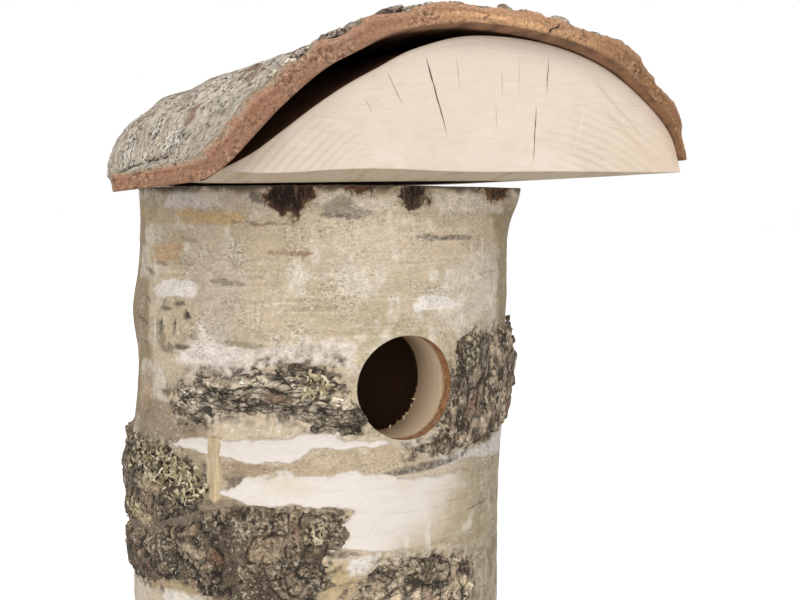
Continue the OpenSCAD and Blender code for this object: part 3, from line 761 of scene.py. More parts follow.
def crumbs(material):
    """Loose scales on the right-hand plate where it shows against the background: small spheres, flattened
    and deeply dented by noise."""
    rng = np.random.default_rng(8)
    round_scale = ball(25, 13)
    sheets = []
    for phi, drop, stand, size in ((61, 44.5, 0.6, 1.1), (62, 47, 0.9, 1.2), (63, 52, 2.2, 1.6),
                                   (65, 58, 3.2, 1.5), (64, 66, 2.8, 1.7)):
        middle = on_log(np.array(phi), log_radius(np.array(phi), np.array(drop)) + stand, np.array(drop))
        dent = 1 + 0.7 * layers(round_scale * 1.5 + phi, (1, 1, 1), 17)
        p = middle + round_scale * size * dent[..., None] * rng.uniform((0.5, 0.5, 0.9), (0.9, 0.9, 1.4))
        grain = layers(round_scale * 3 + phi, (1, 1, 1), 19)
        sheets.append(sheet(p, shaded(plain("7A6A5A", p), 0.4 * grain)))
    return make("bark_crumbs", sheets, [material], ())


def roof_flakes(material):
    """Loose scales on the roof bark near its front rim, which show above its crest: small spheres dented by
    noise and flattened onto the arch, at seeded places."""
    rng = np.random.default_rng(40)
    n = 70
    s = rng.uniform(0.2, 0.8, n)
    reach = SLAB_FRONT + EAVES - rim_fall(s) - BEVEL - rng.uniform(1.2, 5.5, n)
    c, z = bark_under(s, reach)
    c2, z2 = bark_under(s + 0.004, reach)
    slope = np.arctan2(z2 - z, c2 - c)
    off = ROOF_BARK_T * curve(THICK_KNOTS, bark_share(s))[..., 0] + rng.uniform(-0.1, 0.6, n)
    round_scale = ball(15, 9)
    sheets = []
    for k in range(n):
        dent = 1 + 0.6 * layers(round_scale * 1.6 + 5 * k, (1, 1, 1), 41)
        q = round_scale * dent[..., None] * rng.uniform((0.9, 0.7, 0.4), (3.0, 1.6, 1.15))
        a, b = np.cos(slope[k]), np.sin(slope[k])
        p = roof_point(c[k] - b * off[k] + q[..., 0] * a - q[..., 2] * b, reach[k] + q[..., 1],
                       z[k] + a * off[k] + q[..., 0] * b + q[..., 2] * a)
        code = ("8E7A68", "A39080", "B9A995", "77665A")[k % 4]
        grain = layers(round_scale * 3 + k, (1, 1, 1), 42)
        sheets.append(sheet(p, shaded(linear(code), 0.4 * grain), flip=True))
    return make("roof_flakes", sheets, [material], ())


def scar_hairs(material):
    """Frayed fibres at the rim scars: dark and brown strands that hang from the rim."""
    rng = np.random.default_rng(21)
    phi = np.concatenate([rng.uniform(-2, 7, 46), rng.uniform(-40, -27, 34), rng.uniform(30, 50, 22),
                          rng.uniform(-18, -9, 14)])
    drop = np.concatenate([rng.uniform(0.5, 5, 46), rng.uniform(0.5, 6, 34), rng.uniform(0.4, 3, 22),
                           rng.uniform(0.3, 1.5, 14)])
    n = len(phi)
    outward, along = lying(phi, rng.normal(-np.pi / 2, 0.45, n))
    roots = on_log(phi, log_radius(phi, drop) + 0.4, drop)
    return strands("rim_fibres", roots, along, outward, rng.uniform(1.0, 3.0, n), rng.uniform(0.14, 0.34, n),
                   0.5, ["3A2A20", "5B4332", "7C624B", "2A1E17"], material, 22)


def bore_frays(material):
    """Splinters at the inner end of the entry hole, low on the right: strands from the bore's rim
    into the opening."""
    rng = np.random.default_rng(5)
    n = 20
    turn = np.radians(rng.uniform(-80, -14, n))
    x, z = HOLE_R * np.cos(turn), HOLE_Z + HOLE_R * np.sin(turn)
    roots = np.stack([x, -np.sqrt(CAVITY_R ** 2 - x ** 2) - rng.uniform(0.2, 1.2, n), z], -1)
    outward = np.broadcast_to([0.0, -1.0, 0.0], roots.shape)
    along = np.stack([-np.cos(turn), 0 * turn, -np.sin(turn)], -1) + rng.normal(0, 0.25, roots.shape)
    along = along / np.linalg.norm(along, axis=1, keepdims=True)
    return strands("bore_frays", roots, along, outward, rng.uniform(0.4, 1.3, n), rng.uniform(0.3, 0.7, n),
                   0.15, ["CDB994", "B9A47E", "DCCBA8"], material, 6)


# The roof

SLAB_KNOTS_FRONT = np.array([
    (-0.775, 0), (-0.662, 0.11), (-0.55, 0.263), (-0.44, 0.417), (-0.326, 0.559), (-0.212, 0.676),
    (-0.066, 0.815), (0.146, 0.912), (0.411, 0.885), (0.649, 0.749), (0.828, 0.524), (0.954, 0.268), (1, 0)])
SLAB_KNOTS_BACK = np.array([
    (-1, 0), (-0.987, 0.16), (-0.934, 0.318), (-0.848, 0.457), (-0.702, 0.592), (-0.503, 0.733),
    (-0.225, 0.888), (0.066, 0.978), (0.411, 0.92), (0.649, 0.78), (0.821, 0.537), (0.947, 0.28), (1, 0)])
ARCH_KNOTS = np.array([
    (-0.762, 0.044), (-0.682, 0.2), (-0.596, 0.371), (-0.503, 0.529), (-0.411, 0.659), (-0.305, 0.763),
    (-0.146, 0.9), (0.119, 0.959), (0.411, 0.898), (0.649, 0.761), (0.828, 0.534), (0.956, 0.273),
    (1.002, 0.005)])
BRIM_KNOTS_FRONT = np.array([(-1.148, -0.149), (-0.993, -0.112), (-0.848, -0.068)])
BRIM_KNOTS_BACK = np.array([(-1.008, -0.07), (-1.006, -0.047), (-1.003, -0.022)])
THICK_KNOTS = np.array([(0.8, 0), (1.2, 0), (1.35, 0), (1.2, 0), (1.06, 0), (0.88, 0), (1, 0), (0.35, 0)])


def front_share(reach):
    """Share of the pressed-in front shape in the section at a reach from the log's axis."""
    return ease(1 - (SLAB_FRONT - reach) / BLEND)[..., None]


def roof_point(c, reach, z):
    """Point of the roof: across, toward the front and up from the slab's underside, turned onto the log."""
    x = c * np.cos(ROOF_TURN) + reach * np.sin(ROOF_TURN)
    y = c * np.sin(ROOF_TURN) - reach * np.cos(ROOF_TURN)
    return np.stack([x, y, ROOF_Z + z], -1)


# direction in which the roof's front end faces
FORWARD = np.array([np.sin(ROOF_TURN), -np.cos(ROOF_TURN), 0])


def rim_fall(s):
    """How far the bark's front rim falls back toward its right end, in mm."""
    return RIM_BACK * ease((s - 0.6) / 0.4)


def bark_share(s):
    """Share of the way across the roof bark, counted in steps: brim where s is below 0, then arch."""
    steps = np.where(s < 0, BRIM_STEPS * (1 + s), BRIM_STEPS + ARCH_STEPS * s / ARCH_END)
    return steps / (BRIM_STEPS + ARCH_STEPS)


def slab_section(t, reach):
    """Across and up of the slab's rounded side: front and back sections mixed by the front share."""
    w = front_share(reach)
    q = w * curve(SLAB_KNOTS_FRONT, t) + (1 - w) * curve(SLAB_KNOTS_BACK, t)
    return SLAB_SHIFT + q[..., 0] * SLAB_W / 2, q[..., 1] * SLAB_H


def sole(c, reach):
    """Height of the slab's sawn underside: it hangs lower in the middle and to the left, and rises to the
    front edge, which wavers a little."""
    u = (c - SLAB_SHIFT) / (SLAB_W / 2)
    hang = (SOLE_DROP - 1.1 * u) * (1 - np.abs(u) ** np.where(u > 0, 4, 8))
    behind = ease((SLAB_FRONT - reach) / 28)
    waver = 0.7 * np.sin(np.radians(434 * u - 10)) * (1 - u) ** 2 / 2
    return -waver * (1 - behind) - hang * behind


# drying checks of the sawn end: outer and inner end, across and up in mm, width and colour
CHECKS = [((-6.3, 19.5), (-3.5, 14.7), 0.14, "B39472"), ((0.2, 26.7), (5.0, 17.0), 0.17, "A07E5C"),
          ((11.2, 31.2), (17.3, 10.0), 0.34, "5A3F28"), ((19.9, 31.6), (21.1, 22.0), 0.14, "B39472"),
          ((33.4, 27.5), (33.4, 21.1), 0.12, "C2A686"), ((47.2, 31.8), (46.6, 21.1), 0.2, "7A5C42"),
          ((43.6, 18.3), (42.8, 2.2), 0.28, "7A4B36"), ((58.4, 18.5), (55.2, 4.9), 0.24, "EFE7DC"),
          ((38.6, 33), (38.2, 20), 0.12, "CDB596"), ((31.5, 19), (32, 11), 0.12, "C2A686")]


def sawn_end(reach, count):
    """Sawn end of the half log at a reach, as points and colours of a grid from the underside up to the arch:
    growth rings are waves of the distance from a heart below the face, and the face is paler toward the arch,
    a painted light against the shade under the bark's overhang."""
    t = np.linspace(0, 1, count)
    c, top = slab_section(t, np.full_like(t, reach))
    v = np.linspace(0, 1, 90)[:, None]
    base = np.minimum(sole(c, np.full_like(c, reach)), top)
    C, Z = c + 0 * v, base + (top - base) * v
    p2 = np.stack([C, Z, 0 * C], -1)
    heart = np.hypot(C - HEART[0], Z - HEART[1]) + 1.2 * layers(p2, (40, 40, 1), 5)
    band = 0.5 + 0.5 * np.sin(heart * 2 * np.pi / END_RING + 1.4 * noise(p2, (20, 20, 1), 6))
    low_side = ease(np.abs(C - 30) / 16 - 1) * ease(1.6 - Z / 14)
    clear = 0.12 + 0.3 * low_side * (0.6 + 0.4 * ease((C - 30) / 10))
    tint = over(plain("DDCCB9", p2), "B99C78", band ** 3 * clear * ease(0.6 + layers(p2, (26, 18, 1), 7)))
    tint = mottled(tint, p2, (("E9DCCE", (24, 24), 8, 1.4, 0, 0.6), ("D8BFA0", (30, 12), 21, 2, -0.8, 0.4)))
    tint = over(tint, "D9C4AB", ease((C - 52) / 40) * 0.5 * (0.7 + 0.5 * noise(p2, (16, 10, 1), 9)))
    # painted light: paler toward the arch, against the shade of the bark's overhang
    tint = over(tint, "EFE2D2", ease(Z / 34) * 0.55)
    tint = shaded(tint, 0.03 * layers(p2, (2, 2, 1), 12))
    # slanting strokes of the saw at the right
    stroke = noise(np.stack([(C + Z) / 1.41, (C - Z) / 1.41 * 0.06, 0 * C], -1), (1.5, 1.2, 1), 14)
    near = ease((C - 56) / 10) * ease((84 - C) / 8) * ease(1 - np.abs(C + Z - 85.5) / 6)
    tint = over(tint, "B99C7C", ease(stroke * 2.4 - 0.7) * near * 0.45)
    edge = ease(1 - (top - Z) / 1.0) + ease(1 - (Z - base) / 0.4) * 0.6
    tint = over(tint, "B3937A", edge * 0.5)
    return roof_point(C, reach + 0 * C, Z), tint


def roof_slab(end_grain, side_wood):
    """The half log: its two sawn ends, the front one with drying checks, its rounded side under the bark and
    its sawn underside."""
    sheets = [sheet(*sawn_end(SLAB_FRONT, 400)), sheet(*sawn_end(-SLAB_BACK, 200), flip=True)]
    # drying checks: thin slits, widest about a third of the way along, as narrow strips on the face
    s = np.linspace(0, 1, 25)[:, None]
    for n, ((c0, z0), (c1, z1), wide, code) in enumerate(CHECKS):
        far = np.hypot(c1 - c0, z1 - z0)
        across = np.array([z1 - z0, c0 - c1]) / far
        line = np.stack([c0 + (c1 - c0) * s, z0 + (z1 - z0) * s, n * 9 + 0 * s], -1)
        wander = 0.16 * layers(line, (3, 3, 1), 31)
        half = wide * np.sin(np.pi * s ** 0.7) ** 0.8 / 2 * (1 + 0.5 * noise(line, (1.2, 1.2, 1), 33))
        side = np.array([-1.0, 0.0, 1.0])
        q = line[..., :2] + across * (wander + half * side)[..., None]
        p = roof_point(q[..., 0], SLAB_FRONT + 0.12 + 0 * q[..., 0], q[..., 1])
        sheets.append(sheet(p, linear(code), 0, flip=True))
    u = np.linspace(0, 1, 60)[:, None]
    ts = np.linspace(0, 1, 160)
    reach = SLAB_FRONT - (SLAB_FRONT + SLAB_BACK) * u + 0 * ts
    sc, sz = slab_section(ts + 0 * u, reach)
    ps = roof_point(sc, reach, sz)
    side = shaded(plain("7A5A40", ps), 0.3 * layers(ps, (4, 4, 4), 16))
    lo, hi = sc[:, :1], sc[:, -1:]
    k = np.linspace(0, 1, 120)
    uc = lo + (hi - lo) * k
    ur = reach[:, :1] + 0 * k
    pu = roof_point(uc, ur, sole(uc, ur))
    p3 = np.stack([uc, ur, 0 * uc], -1)
    under = mottled(plain("D8C7AE", pu), p3, [("BCA380", (1.4, 30), 18, 1.6, 0, 0.6)])
    sheets += [sheet(ps, side, 1, flip=True), sheet(pu, under, 1)]
    return make("roof_slab", sheets, [end_grain, side_wood], ("roof_slab",))


def bark_under(s, reach):
    """Across and up of the roof bark's underside: brim where s is below 0, then the arch over the slab."""
    brim, arch = len(BRIM_KNOTS_FRONT), len(ARCH_KNOTS) - 1
    t = np.where(s < 0, brim * (1 + s), brim + arch * s) / (brim + arch)
    w = front_share(reach)
    q = w * curve(np.concatenate([BRIM_KNOTS_FRONT, ARCH_KNOTS]), t)
    q = q + (1 - w) * curve(np.concatenate([BRIM_KNOTS_BACK, SLAB_KNOTS_BACK]), t)
    return SLAB_SHIFT + q[..., 0] * SLAB_W / 2, q[..., 1] * SLAB_H


def roof_bark(outside, cork, inner):
    """The warped bark shell: its underside, an outer face that stands off it by the bark's thickness, the
    solid's long ridges and a crusted, scaly relief, and cut edges of cork all round, the front one with a
    worn bevel."""
    s = np.concatenate([np.linspace(-1, 0, 70)[:-1], np.linspace(0, ARCH_END, 250)])
    v = np.linspace(0, 1, 200)[:, None]
    rim = SLAB_FRONT + EAVES - rim_fall(s) * (1 - v)
    rim = rim + 0.5 * layers(np.stack([s * 190, 0 * s, 0 * s], -1), (9, 1, 1), 23) * (1 - v)
    length = SLAB_FRONT + EAVES + SLAB_BACK + REAR
    reach = rim - length * v
    S = s + 0 * v
    c, z = bark_under(S, reach)
    arc = np.cumsum(np.hypot(np.diff(c[0], prepend=c[0, :1]), np.diff(z[0], prepend=z[0, :1])))
    under = roof_point(c, reach, z)
    back = rim - BEVEL - (length - BEVEL) * v
    bc, bz = bark_under(S, back)
    dc, dz = np.gradient(bc, axis=1), np.gradient(bz, axis=1)
    long = np.hypot(dc, dz)
    across = bark_share(s)
    thick = ROOF_BARK_T * curve(THICK_KNOTS, np.clip(across, 0, 1))[..., 0]
    ridge = np.sin(2 * np.pi * ROOF_RIDGES * across + np.radians(60) * np.sin(2 * np.pi * back / ROOF_BEND))
    thick = thick + ROOF_RIDGE * ridge * ease((across - 0.2) / 0.15) * ease((1 - across) / 0.1)
    q = np.stack([arc + 0 * v, back, 0 * S], -1)
    bend = np.stack([layers(q, (9, 9, 1), 25), layers(q, (9, 9, 1), 27), 0 * S], -1)
    crack, own, lean = cells(q + 3 * bend, (8, 15, 1), 29)
    crumble = layers(q, (2.2, 2.2, 1), 37)
    scaly = ease((S - 0.16) / 0.2)
    relief = scaly * (1.1 * (own - 0.4) + 0.9 * lean) * ease(crack / 0.1) + 0.35 * crumble
    relief = relief * ease(across / 0.015) * ease((1 - across) / 0.03)
    oc, oz = bc - dz / long * (thick + relief), bz + dc / long * (thick + relief)
    outer = roof_point(oc, back, oz)
    patch = layers(q, (15, 15, 1), 39)
    tint = over(plain("D0C3B0", outer), "9A8674", ease(0.1 + 1.5 * patch) * 0.7)
    tint = over(tint, "BCAF9E", ease(v / 0.35 - 0.6 + patch) * 0.5)
    tint = mottled(tint, q, (("E2D4BF", (7, 7), 43, 2.2, 0.1, 0.7), ("8F6C55", (8, 8), 45, 2.6, -0.6, 0.8)))
    tint = mottled(tint, q, [("54473B", (4, 4), 47, 2.6, -0.5, 0.7)], ease(0.6 + 1.4 * patch))
    tint = over(tint, "8C6D58", ease(0.4 + 1.2 * (own - 0.5)) * scaly * 0.7)
    tint = over(tint, "322922", ease(1 - crack / 0.05) * scaly * 0.8)
    # brown fringe of crust along the front rim
    tint = over(tint, "93795C", ease(1.3 - v * length / 5 + 0.8 * crumble) * 0.7)
    sheets = [sheet(outer, tint, 0, flip=True)]
    grain = layers(q, (2, 14, 1), 51)
    dark = over(plain("9A7050", under), "5E4330", ease(grain * 1.5 + 0.2) * 0.8)
    sheets.append(sheet(under[::2, ::2], dark[::2, ::2], 2))
    front = cut_edge(under[0], outer[0], arc, 61, True, BEVEL)
    sheets += [front, split_strip(front, arc, arc[np.argmin(np.abs(c[0] - 41.5))])]
    sheets.append(cut_edge(under[-1], outer[-1], arc, 63, False))
    sheets.append(cut_edge(under[:, 0], outer[:, 0], reach[:, 0], 65, False))
    sheets.append(cut_edge(under[:, -1], outer[:, -1], reach[:, -1], 67, True))
    return make("roof_bark", sheets, [outside, cork, inner], ("roof_bark",))


def cut_edge(low, high, along, seed, flip, bevel=0.0):
    """Cut face of the roof bark from its underside to its outer face: red-brown cork in layers with dark
    grains. A bevel keeps about three fifths upright and rounds the rest off into a paler worn strip."""
    t = np.linspace(0, 1, 19)[:, None]
    p = low + (high - low) * t[..., None]
    p = p + FORWARD * (bevel * (t - ease((t - 0.58) / 0.42)))[..., None]
    q = np.stack([along + 0 * t, t * ROOF_BARK_T + 0 * along, 0 * t + 0 * along], -1)
    grain = layers(q, (1.3, 1.3, 1), seed)
    wave = layers(q, (11, 1.3, 1), seed + 3)
    normal = np.cross(np.gradient(p, axis=1), high - low + 0 * p)
    normal = normal / (np.linalg.norm(normal, axis=-1, keepdims=True) + 1e-9)
    p = p + normal * ((0.22 * grain + 0.2 * wave) * np.sin(np.pi * t))[..., None] * (1 if flip else -1)
    crown = ease((along - 75) / 50)
    tint = over(plain("987158", p), "DAAB7E", crown + 0 * t)
    tint = over(tint, "85603F", ease((along - 112) / 55) * 0.95 + 0 * t)
    tint = over(tint, "8A6146", ease(wave * 1.6 + 0.1) * 0.5)
    tint = over(tint, "B98F74", ease((t - 0.66) / 0.14) * ease(0.9 + wave) * 0.6)
    tint = over(tint, "7F4F37", ease(1 - np.abs(t - 0.62 - 0.05 * wave) / 0.05) * 0.5)
    tint = over(tint, "5E4030", ease(1 - t / 0.14) * 0.5 + 0 * grain)
    tint = over(tint, "A3947F", ease((t - 0.84 + 0.25 * grain) / 0.08) * ease((86 - along) / 40) * 0.75)
    return sheet(p, tint, 1, flip=flip)


def split_strip(edge, along, place):
    """Slanting crack in the front cut edge: a narrow dark strip just in front of it. Its points lie at a
    place along the edge that moves on with the height, found between the edge's own columns."""
    rows = np.arange(0, 14)
    half = 0.34 * np.sin(np.pi * (rows + 0.6) / 14.4)
    lean = 0.3 * rows + 0.35 * np.sin(rows * 0.9)
    at = place + lean[:, None] + half[:, None] * np.array([-1.0, 0.0, 1.0])
    p = np.stack([[np.interp(at[r], along, edge["p"][r][:, k]) for k in range(3)] for r in rows])
    p = p.transpose(0, 2, 1) + 0.3 * FORWARD
    return sheet(p, linear("2A1A11"), 1, flip=edge["flip"])


# Materials

def add(tree, kind, links=None, **settings):
    """Adds a node with its settings; links gives its inputs by name or number, as values or other nodes'
    outputs."""
    node = tree.nodes.new(kind)
    for key, value in settings.items():
        setattr(node, key, value)
    for name, source in (links or {}).items():
        if isinstance(source, bpy.types.NodeSocket):
            tree.links.new(source, node.inputs[name])
        else:
            node.inputs[name].default_value = source
    return node


def maths(tree, operation, *values):
    """One operation on values or other nodes' outputs."""
    return add(tree, "ShaderNodeMath", dict(enumerate(values)), operation=operation).outputs[0]


def grainy(tree, vector, scale, detail, rough=0.5):
    """Noise from 0 to 1 of a scale per metre."""
    links = {"Vector": vector, "Scale": scale, "Detail": detail, "Roughness": rough}
    return add(tree, "ShaderNodeTexNoise", links).outputs["Fac"]


def ranged(tree, value, low, high, first=0.0, last=1.0):
    """A value between two levels brought onto another range and held at its ends."""
    links = {"Value": value, "From Min": low, "From Max": high, "To Min": first, "To Max": last}
    return add(tree, "ShaderNodeMapRange", links).outputs[0]


def paint(code):
    """Colour of a hex code as a socket takes it."""
    return (*linear(code), 1)


def mixed(tree, mask, under, top):
    """Colour between two others, by a mask."""
    return add(tree, "ShaderNodeMix", {0: mask, 6: under, 7: top}, data_type="RGBA").outputs[2]


def new_material(name):
    """Empty node material and its node tree."""
    material = bpy.data.materials.new(name)
    material.use_nodes = True
    material.node_tree.nodes.clear()
    return material, material.node_tree


def surface(tree, colour, rough, ior, height, strength, depth):
    """Dry surface of a colour with a bump of a depth in metres, joined to the material's output."""
    bump = add(tree, "ShaderNodeBump", {"Height": height, "Strength": strength, "Distance": depth}).outputs[0]
    links = {"Base Color": colour, "Roughness": rough, "IOR": ior, "Normal": bump}
    shader = add(tree, "ShaderNodeBsdfPrincipled", links)
    add(tree, "ShaderNodeOutputMaterial", {"Surface": shader.outputs[0]})


def natural(name, rough, grain_mm, low, high, bump_mm, stretch=(1, 1, 1), flecks=(), cracks=(), warp=1.6):
    """Natural surface coloured by its piece's own tint. A grain with many finer sizes in it, warped by a
    share of its size, darkens and lightens the tint between two factors. Flecks of a size and colour lie
    where a noise passes from one level to another, more in some places than in others, and cracks of a
    spacing, width and colour run along the borders of cells. All sizes are in mm."""
    material, tree = new_material(name)
    tint = add(tree, "ShaderNodeAttribute", attribute_name="tint").outputs["Color"]
    place = add(tree, "ShaderNodeTexCoord").outputs["Object"]
    space = add(tree, "ShaderNodeMapping", {"Vector": place, "Scale": stretch}).outputs["Vector"]
    bend = add(tree, "ShaderNodeTexNoise", {"Vector": space, "Scale": 250 / grain_mm, "Detail": 2.0})
    away = warp * grain_mm * MM
    space = add(tree, "ShaderNodeVectorMath", {0: bend.outputs["Color"], 1: (away, away, away), 2: space},
                operation="MULTIPLY_ADD").outputs[0]
    grain = grainy(tree, space, 1000 / grain_mm, 7.0, 0.7)
    shade = ranged(tree, grain, 0.28, 0.72, low, high)
    colour = add(tree, "ShaderNodeVectorMath", {0: tint, 1: shade}, operation="MULTIPLY").outputs[0]
    height = grain
    drift = grainy(tree, place, 1000 / 9, 3.0)
    for n, (size, code, start, full, strength) in enumerate(flecks):
        apart = add(tree, "ShaderNodeMapping", {"Vector": space, "Location": (n + 1.0, 0.3, 0.7)}).outputs[0]
        spread = maths(tree, "MULTIPLY_ADD", drift, 0.5, grainy(tree, apart, 1000 / size, 4.0, 0.65))
        mask = ranged(tree, spread, start + 0.25, full + 0.25, 0.0, strength)
        colour = mixed(tree, mask, colour, paint(code))
    for size, wide, code, strength in cracks:
        edge = add(tree, "ShaderNodeTexVoronoi", {"Vector": space, "Scale": 1000 / size},
                   feature="DISTANCE_TO_EDGE").outputs["Distance"]
        gap = ranged(tree, edge, 0.15 * wide / size, wide / size, strength, 0.0)
        there = ranged(tree, grainy(tree, space, 400 / size, 2.0), 0.4, 0.58)
        mask = maths(tree, "MULTIPLY", gap, there)
        colour = mixed(tree, mask, colour, paint(code))
        height = maths(tree, "MULTIPLY_ADD", mask, -0.7, height)
    surface(tree, colour, rough, 1.46, height, 1.0, bump_mm * MM)
    return material


def bored_wood():
    """Birch bored by a saw: pale and smooth in the entry hole, raw and dark brown in the deep nest cavity."""
    material, tree = new_material("bored_birch")
    place = add(tree, "ShaderNodeTexCoord").outputs["Object"]
    flat = add(tree, "ShaderNodeVectorMath", {0: place, 1: (1, 1, 0)}, operation="MULTIPLY").outputs[0]
    away = add(tree, "ShaderNodeVectorMath", {0: flat}, operation="LENGTH").outputs["Value"]
    wall_start = (CAVITY_R + 0.4) * MM
    inner = ranged(tree, away, (CAVITY_R + 0.1) * MM, wall_start)
    # growth rings follow the log's axis, about 2 mm apart, with fibres that run up the log
    grain = add(tree, "ShaderNodeMapping", {"Vector": place, "Scale": (1, 1, 0.08)}).outputs[0]
    fibre = grainy(tree, grain, 700.0, 4.0)
    rings = maths(tree, "SINE", maths(tree, "MULTIPLY", away, 2 * np.pi / (BORE_RING * MM)))
    rings = maths(tree, "MULTIPLY_ADD", rings, 0.06, fibre)
    pale = mixed(tree, rings, paint("D9BE9B"), paint("F0DEC3"))
    # painted shade: the bore's wall darkens deeper in, toward the cavity
    deep = ranged(tree, away, wall_start, (CAVITY_R + 14) * MM, 0.75, 0.0)
    pale = mixed(tree, deep, pale, paint("8C6E50"))
    dark = mixed(tree, fibre, paint("5A3E28"), paint("7D5A3E"))
    surface(tree, mixed(tree, inner, dark, pale), 0.62, 1.5, fibre, 0.5, 0.2 * MM)
    return material


def board_wood():
    """Sawn softwood disc: straight grain about 3 mm apart with darker late wood and a dry, matt face."""
    material, tree = new_material("sawn_spruce")
    place = add(tree, "ShaderNodeTexCoord").outputs["Object"]
    space = add(tree, "ShaderNodeMapping", {"Vector": place, "Scale": (1, 0.06, 0.3)}).outputs[0]
    grain = grainy(tree, space, 330.0, 5.0)
    colour = mixed(tree, ranged(tree, grain, 0.35, 0.65), paint("CDB28C"), paint("E6D8C0"))
    surface(tree, colour, 0.7, 1.5, grain, 0.6, 0.3 * MM)
    return material


# chalky outer skin of birch: matt, faintly fibrous round the trunk, with specks of dirt and pale
# rubbed dashes
PAPER = natural("birch_paper_bark", 0.75, 1.1, 0.7, 1.27, 0.1, (1, 1, 1.5),
                [(0.9, "5E5140", 0.58, 0.68, 0.55), (1.2, "EDE5D7", 0.58, 0.68, 0.5),
                 (6, "A5967C", 0.55, 0.75, 0.35)], (), 0.8)
# cork layer under it, cut through at the hole, the rim and the roof: matt and grainy
CORK = natural("birch_bark_cork", 0.85, 0.9, 0.5, 1.5, 0.22, (1, 1, 1),
               [(1.1, "4E2F20", 0.56, 0.65, 0.75), (0.9, "E0BF9E", 0.59, 0.68, 0.45)], (), 0.7)
# old fissured bark: dry and crumbly, with pale scales, dark pits and two sizes of crack; the grain lies
# level, stands upright or goes no special way
OLD = {}
for way, stretch, warp in (("level", (1, 1, 2.1), 0.8), ("upright", (1, 1, 0.6), 1.3),
                           ("even", (1, 1, 1), 0.8)):
    OLD[way] = natural("old_birch_bark_" + way, 0.9, 1.2, 0.32, 1.8, 0.8, stretch,
                       [(1.3, "D8CBB3", 0.545, 0.63, 0.7), (1.4, "20160F", 0.54, 0.62, 0.92),
                        (0.7, "B7A589", 0.54, 0.61, 0.3)],
                       [(5.5, 0.5, "1D140D", 0.85), (2.3, 0.25, "2A1F16", 0.5)], warp)
# white loose sheets: smoother, with faint level lines
PEEL = natural("loose_white_bark", 0.6, 2.2, 0.93, 1.06, 0.05, (1, 1, 4),
               [(1.4, "C9B79C", 0.6, 0.72, 0.35)])
# torn inner bark and its fibres
TORN = natural("torn_inner_bark", 0.88, 0.8, 0.6, 1.4, 0.2, (3, 3, 1), [(1.0, "A58B70", 0.6, 0.7, 0.4)])
# crusted outside of the roof bark: dry lichen with dark wrinkles, pale grains and a few rusty spots
CRUST = natural("lichen_crusted_bark", 0.92, 1.3, 0.5, 1.5, 0.5, (1, 1, 1),
                [(1.7, "261F1A", 0.545, 0.6, 0.9), (1.5, "F6ECDB", 0.54, 0.61, 0.9),
                 (7, "8A6350", 0.62, 0.72, 0.5)],
                [(3.4, 0.4, "352C24", 0.4)], 0.9)
# underside of the roof bark: brown bast, fibrous
BAST = natural("bark_bast", 0.85, 1.0, 0.7, 1.3, 0.15)
# sawn end of the half log: smooth pale birch with fine level saw lines
END_GRAIN = natural("sawn_birch_end", 0.65, 1.8, 0.94, 1.05, 0.05, (0.3, 0.3, 6),
                    [(2.0, "BFA386", 0.57, 0.7, 0.22), (1.8, "F4EBE0", 0.56, 0.68, 0.25)])
# rounded side and underside of the half log, and the splinters in the bore
SIDE_WOOD = natural("split_birch", 0.75, 1.4, 0.88, 1.1, 0.08)
# curled grey-green lichen: papery and matt
LICHEN = natural("grey_lichen", 0.92, 0.9, 0.75, 1.25, 0.06)
BORED = bored_wood()
BOARD = board_wood()

for node, material in (("log_wall", BORED), ("floor_disc", BOARD), ("roof_plug", BOARD)):
    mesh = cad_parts[node].data
    mesh.materials.clear()
    mesh.materials.append(material)


# Pieces

front_phi = np.linspace(SEAM_LEFT, SEAM_RIGHT, 373)
rear_phi = np.linspace(SEAM_RIGHT, SEAM_LEFT + 360, 150)
upper = np.linspace(0, FINE_DROP, 257)
lower = np.linspace(FINE_DROP, LOG_H, 50)
every = np.concatenate([upper[::2], lower[1:]])
make("log_bark", [bark_sheet(front_phi, upper), hole_lip()], [PAPER, CORK], ("log_bark",))
make("log_bark_rest", [bark_sheet(front_phi[::2], lower), bark_sheet(rear_phi, every),
                       ring(0.0, True), ring(LOG_H, False)],
     [PAPER, CORK], ("log_bark",))
for name, outline, rise, seed, size, way, code, lichen, rusty, step in (
        ("bark_left", LEFT, 1.0, 201, (17, 4.2), "level", "E4D3BA", [(-26, 59, 5.5, 4)],
         [(-37, 63, 4, 1.4)], 0.36),
        ("bark_right", RIGHT, 1.1, 301, (4, 17), "upright", "B29E86", [], [(23, 68, 3.4, 5)], 0.38),
        ("bark_flank", FLANK, 1.0, 401, (8, 9), "even", "948169",
         [(-82, 86, 11, 6.5), (-67, 91, 9, 7)], [], 0.34),
        ("bark_lower_left", LOWER_LEFT, 1.0, 501, (9, 10), "even", "8B7862",
         [(-27, 104, 2.6, 4), (-31, 133, 4, 4)], [(-54, 113, 1.6, 3.2)], 0.4),
        ("bark_lower_right", LOWER_RIGHT, 0.9, 601, (9, 8), "even", "E0CAAB", [(3, 118, 4, 3)],
         [(7, 128, 2.6, 3)], 0.4),
        ("bark_rear_left", REAR_LEFT, 1.0, 701, (9, 10), "even", "85745F", [(-158, 76, 9, 8)], [], 0.7),
        ("bark_rear_right", REAR_RIGHT, 1.0, 801, (9, 10), "even", "85745F", [], [], 0.7),
        ("bark_rear_low", REAR_LOW, 1.0, 901, (9, 10), "even", "85745F", [], [], 0.7),
        ("bark_base", BASE, 0.9, 951, (9, 10), "even", "85745F", [], [], 0.7)):
    form = rough_form(outline, rise, seed, size, code, lichen, rusty)
    raised(name, outline, form, OLD[way], step)
for name, outline, code, seed, fade, rise, tear in (
        ("peel_band", BAND, "E0D6CC", 111, False, 0.45, 0.9),
        ("peel_sheet", SHEET, "E4DAD0", 117, True, 0.45, 0.9),
        ("peel_strip", STRIP, "C6B18C", 123, False, 0.8, 0.3)):
    raised(name, outline, peel_form(outline, code, seed, fade, rise, tear), PEEL, 0.4)
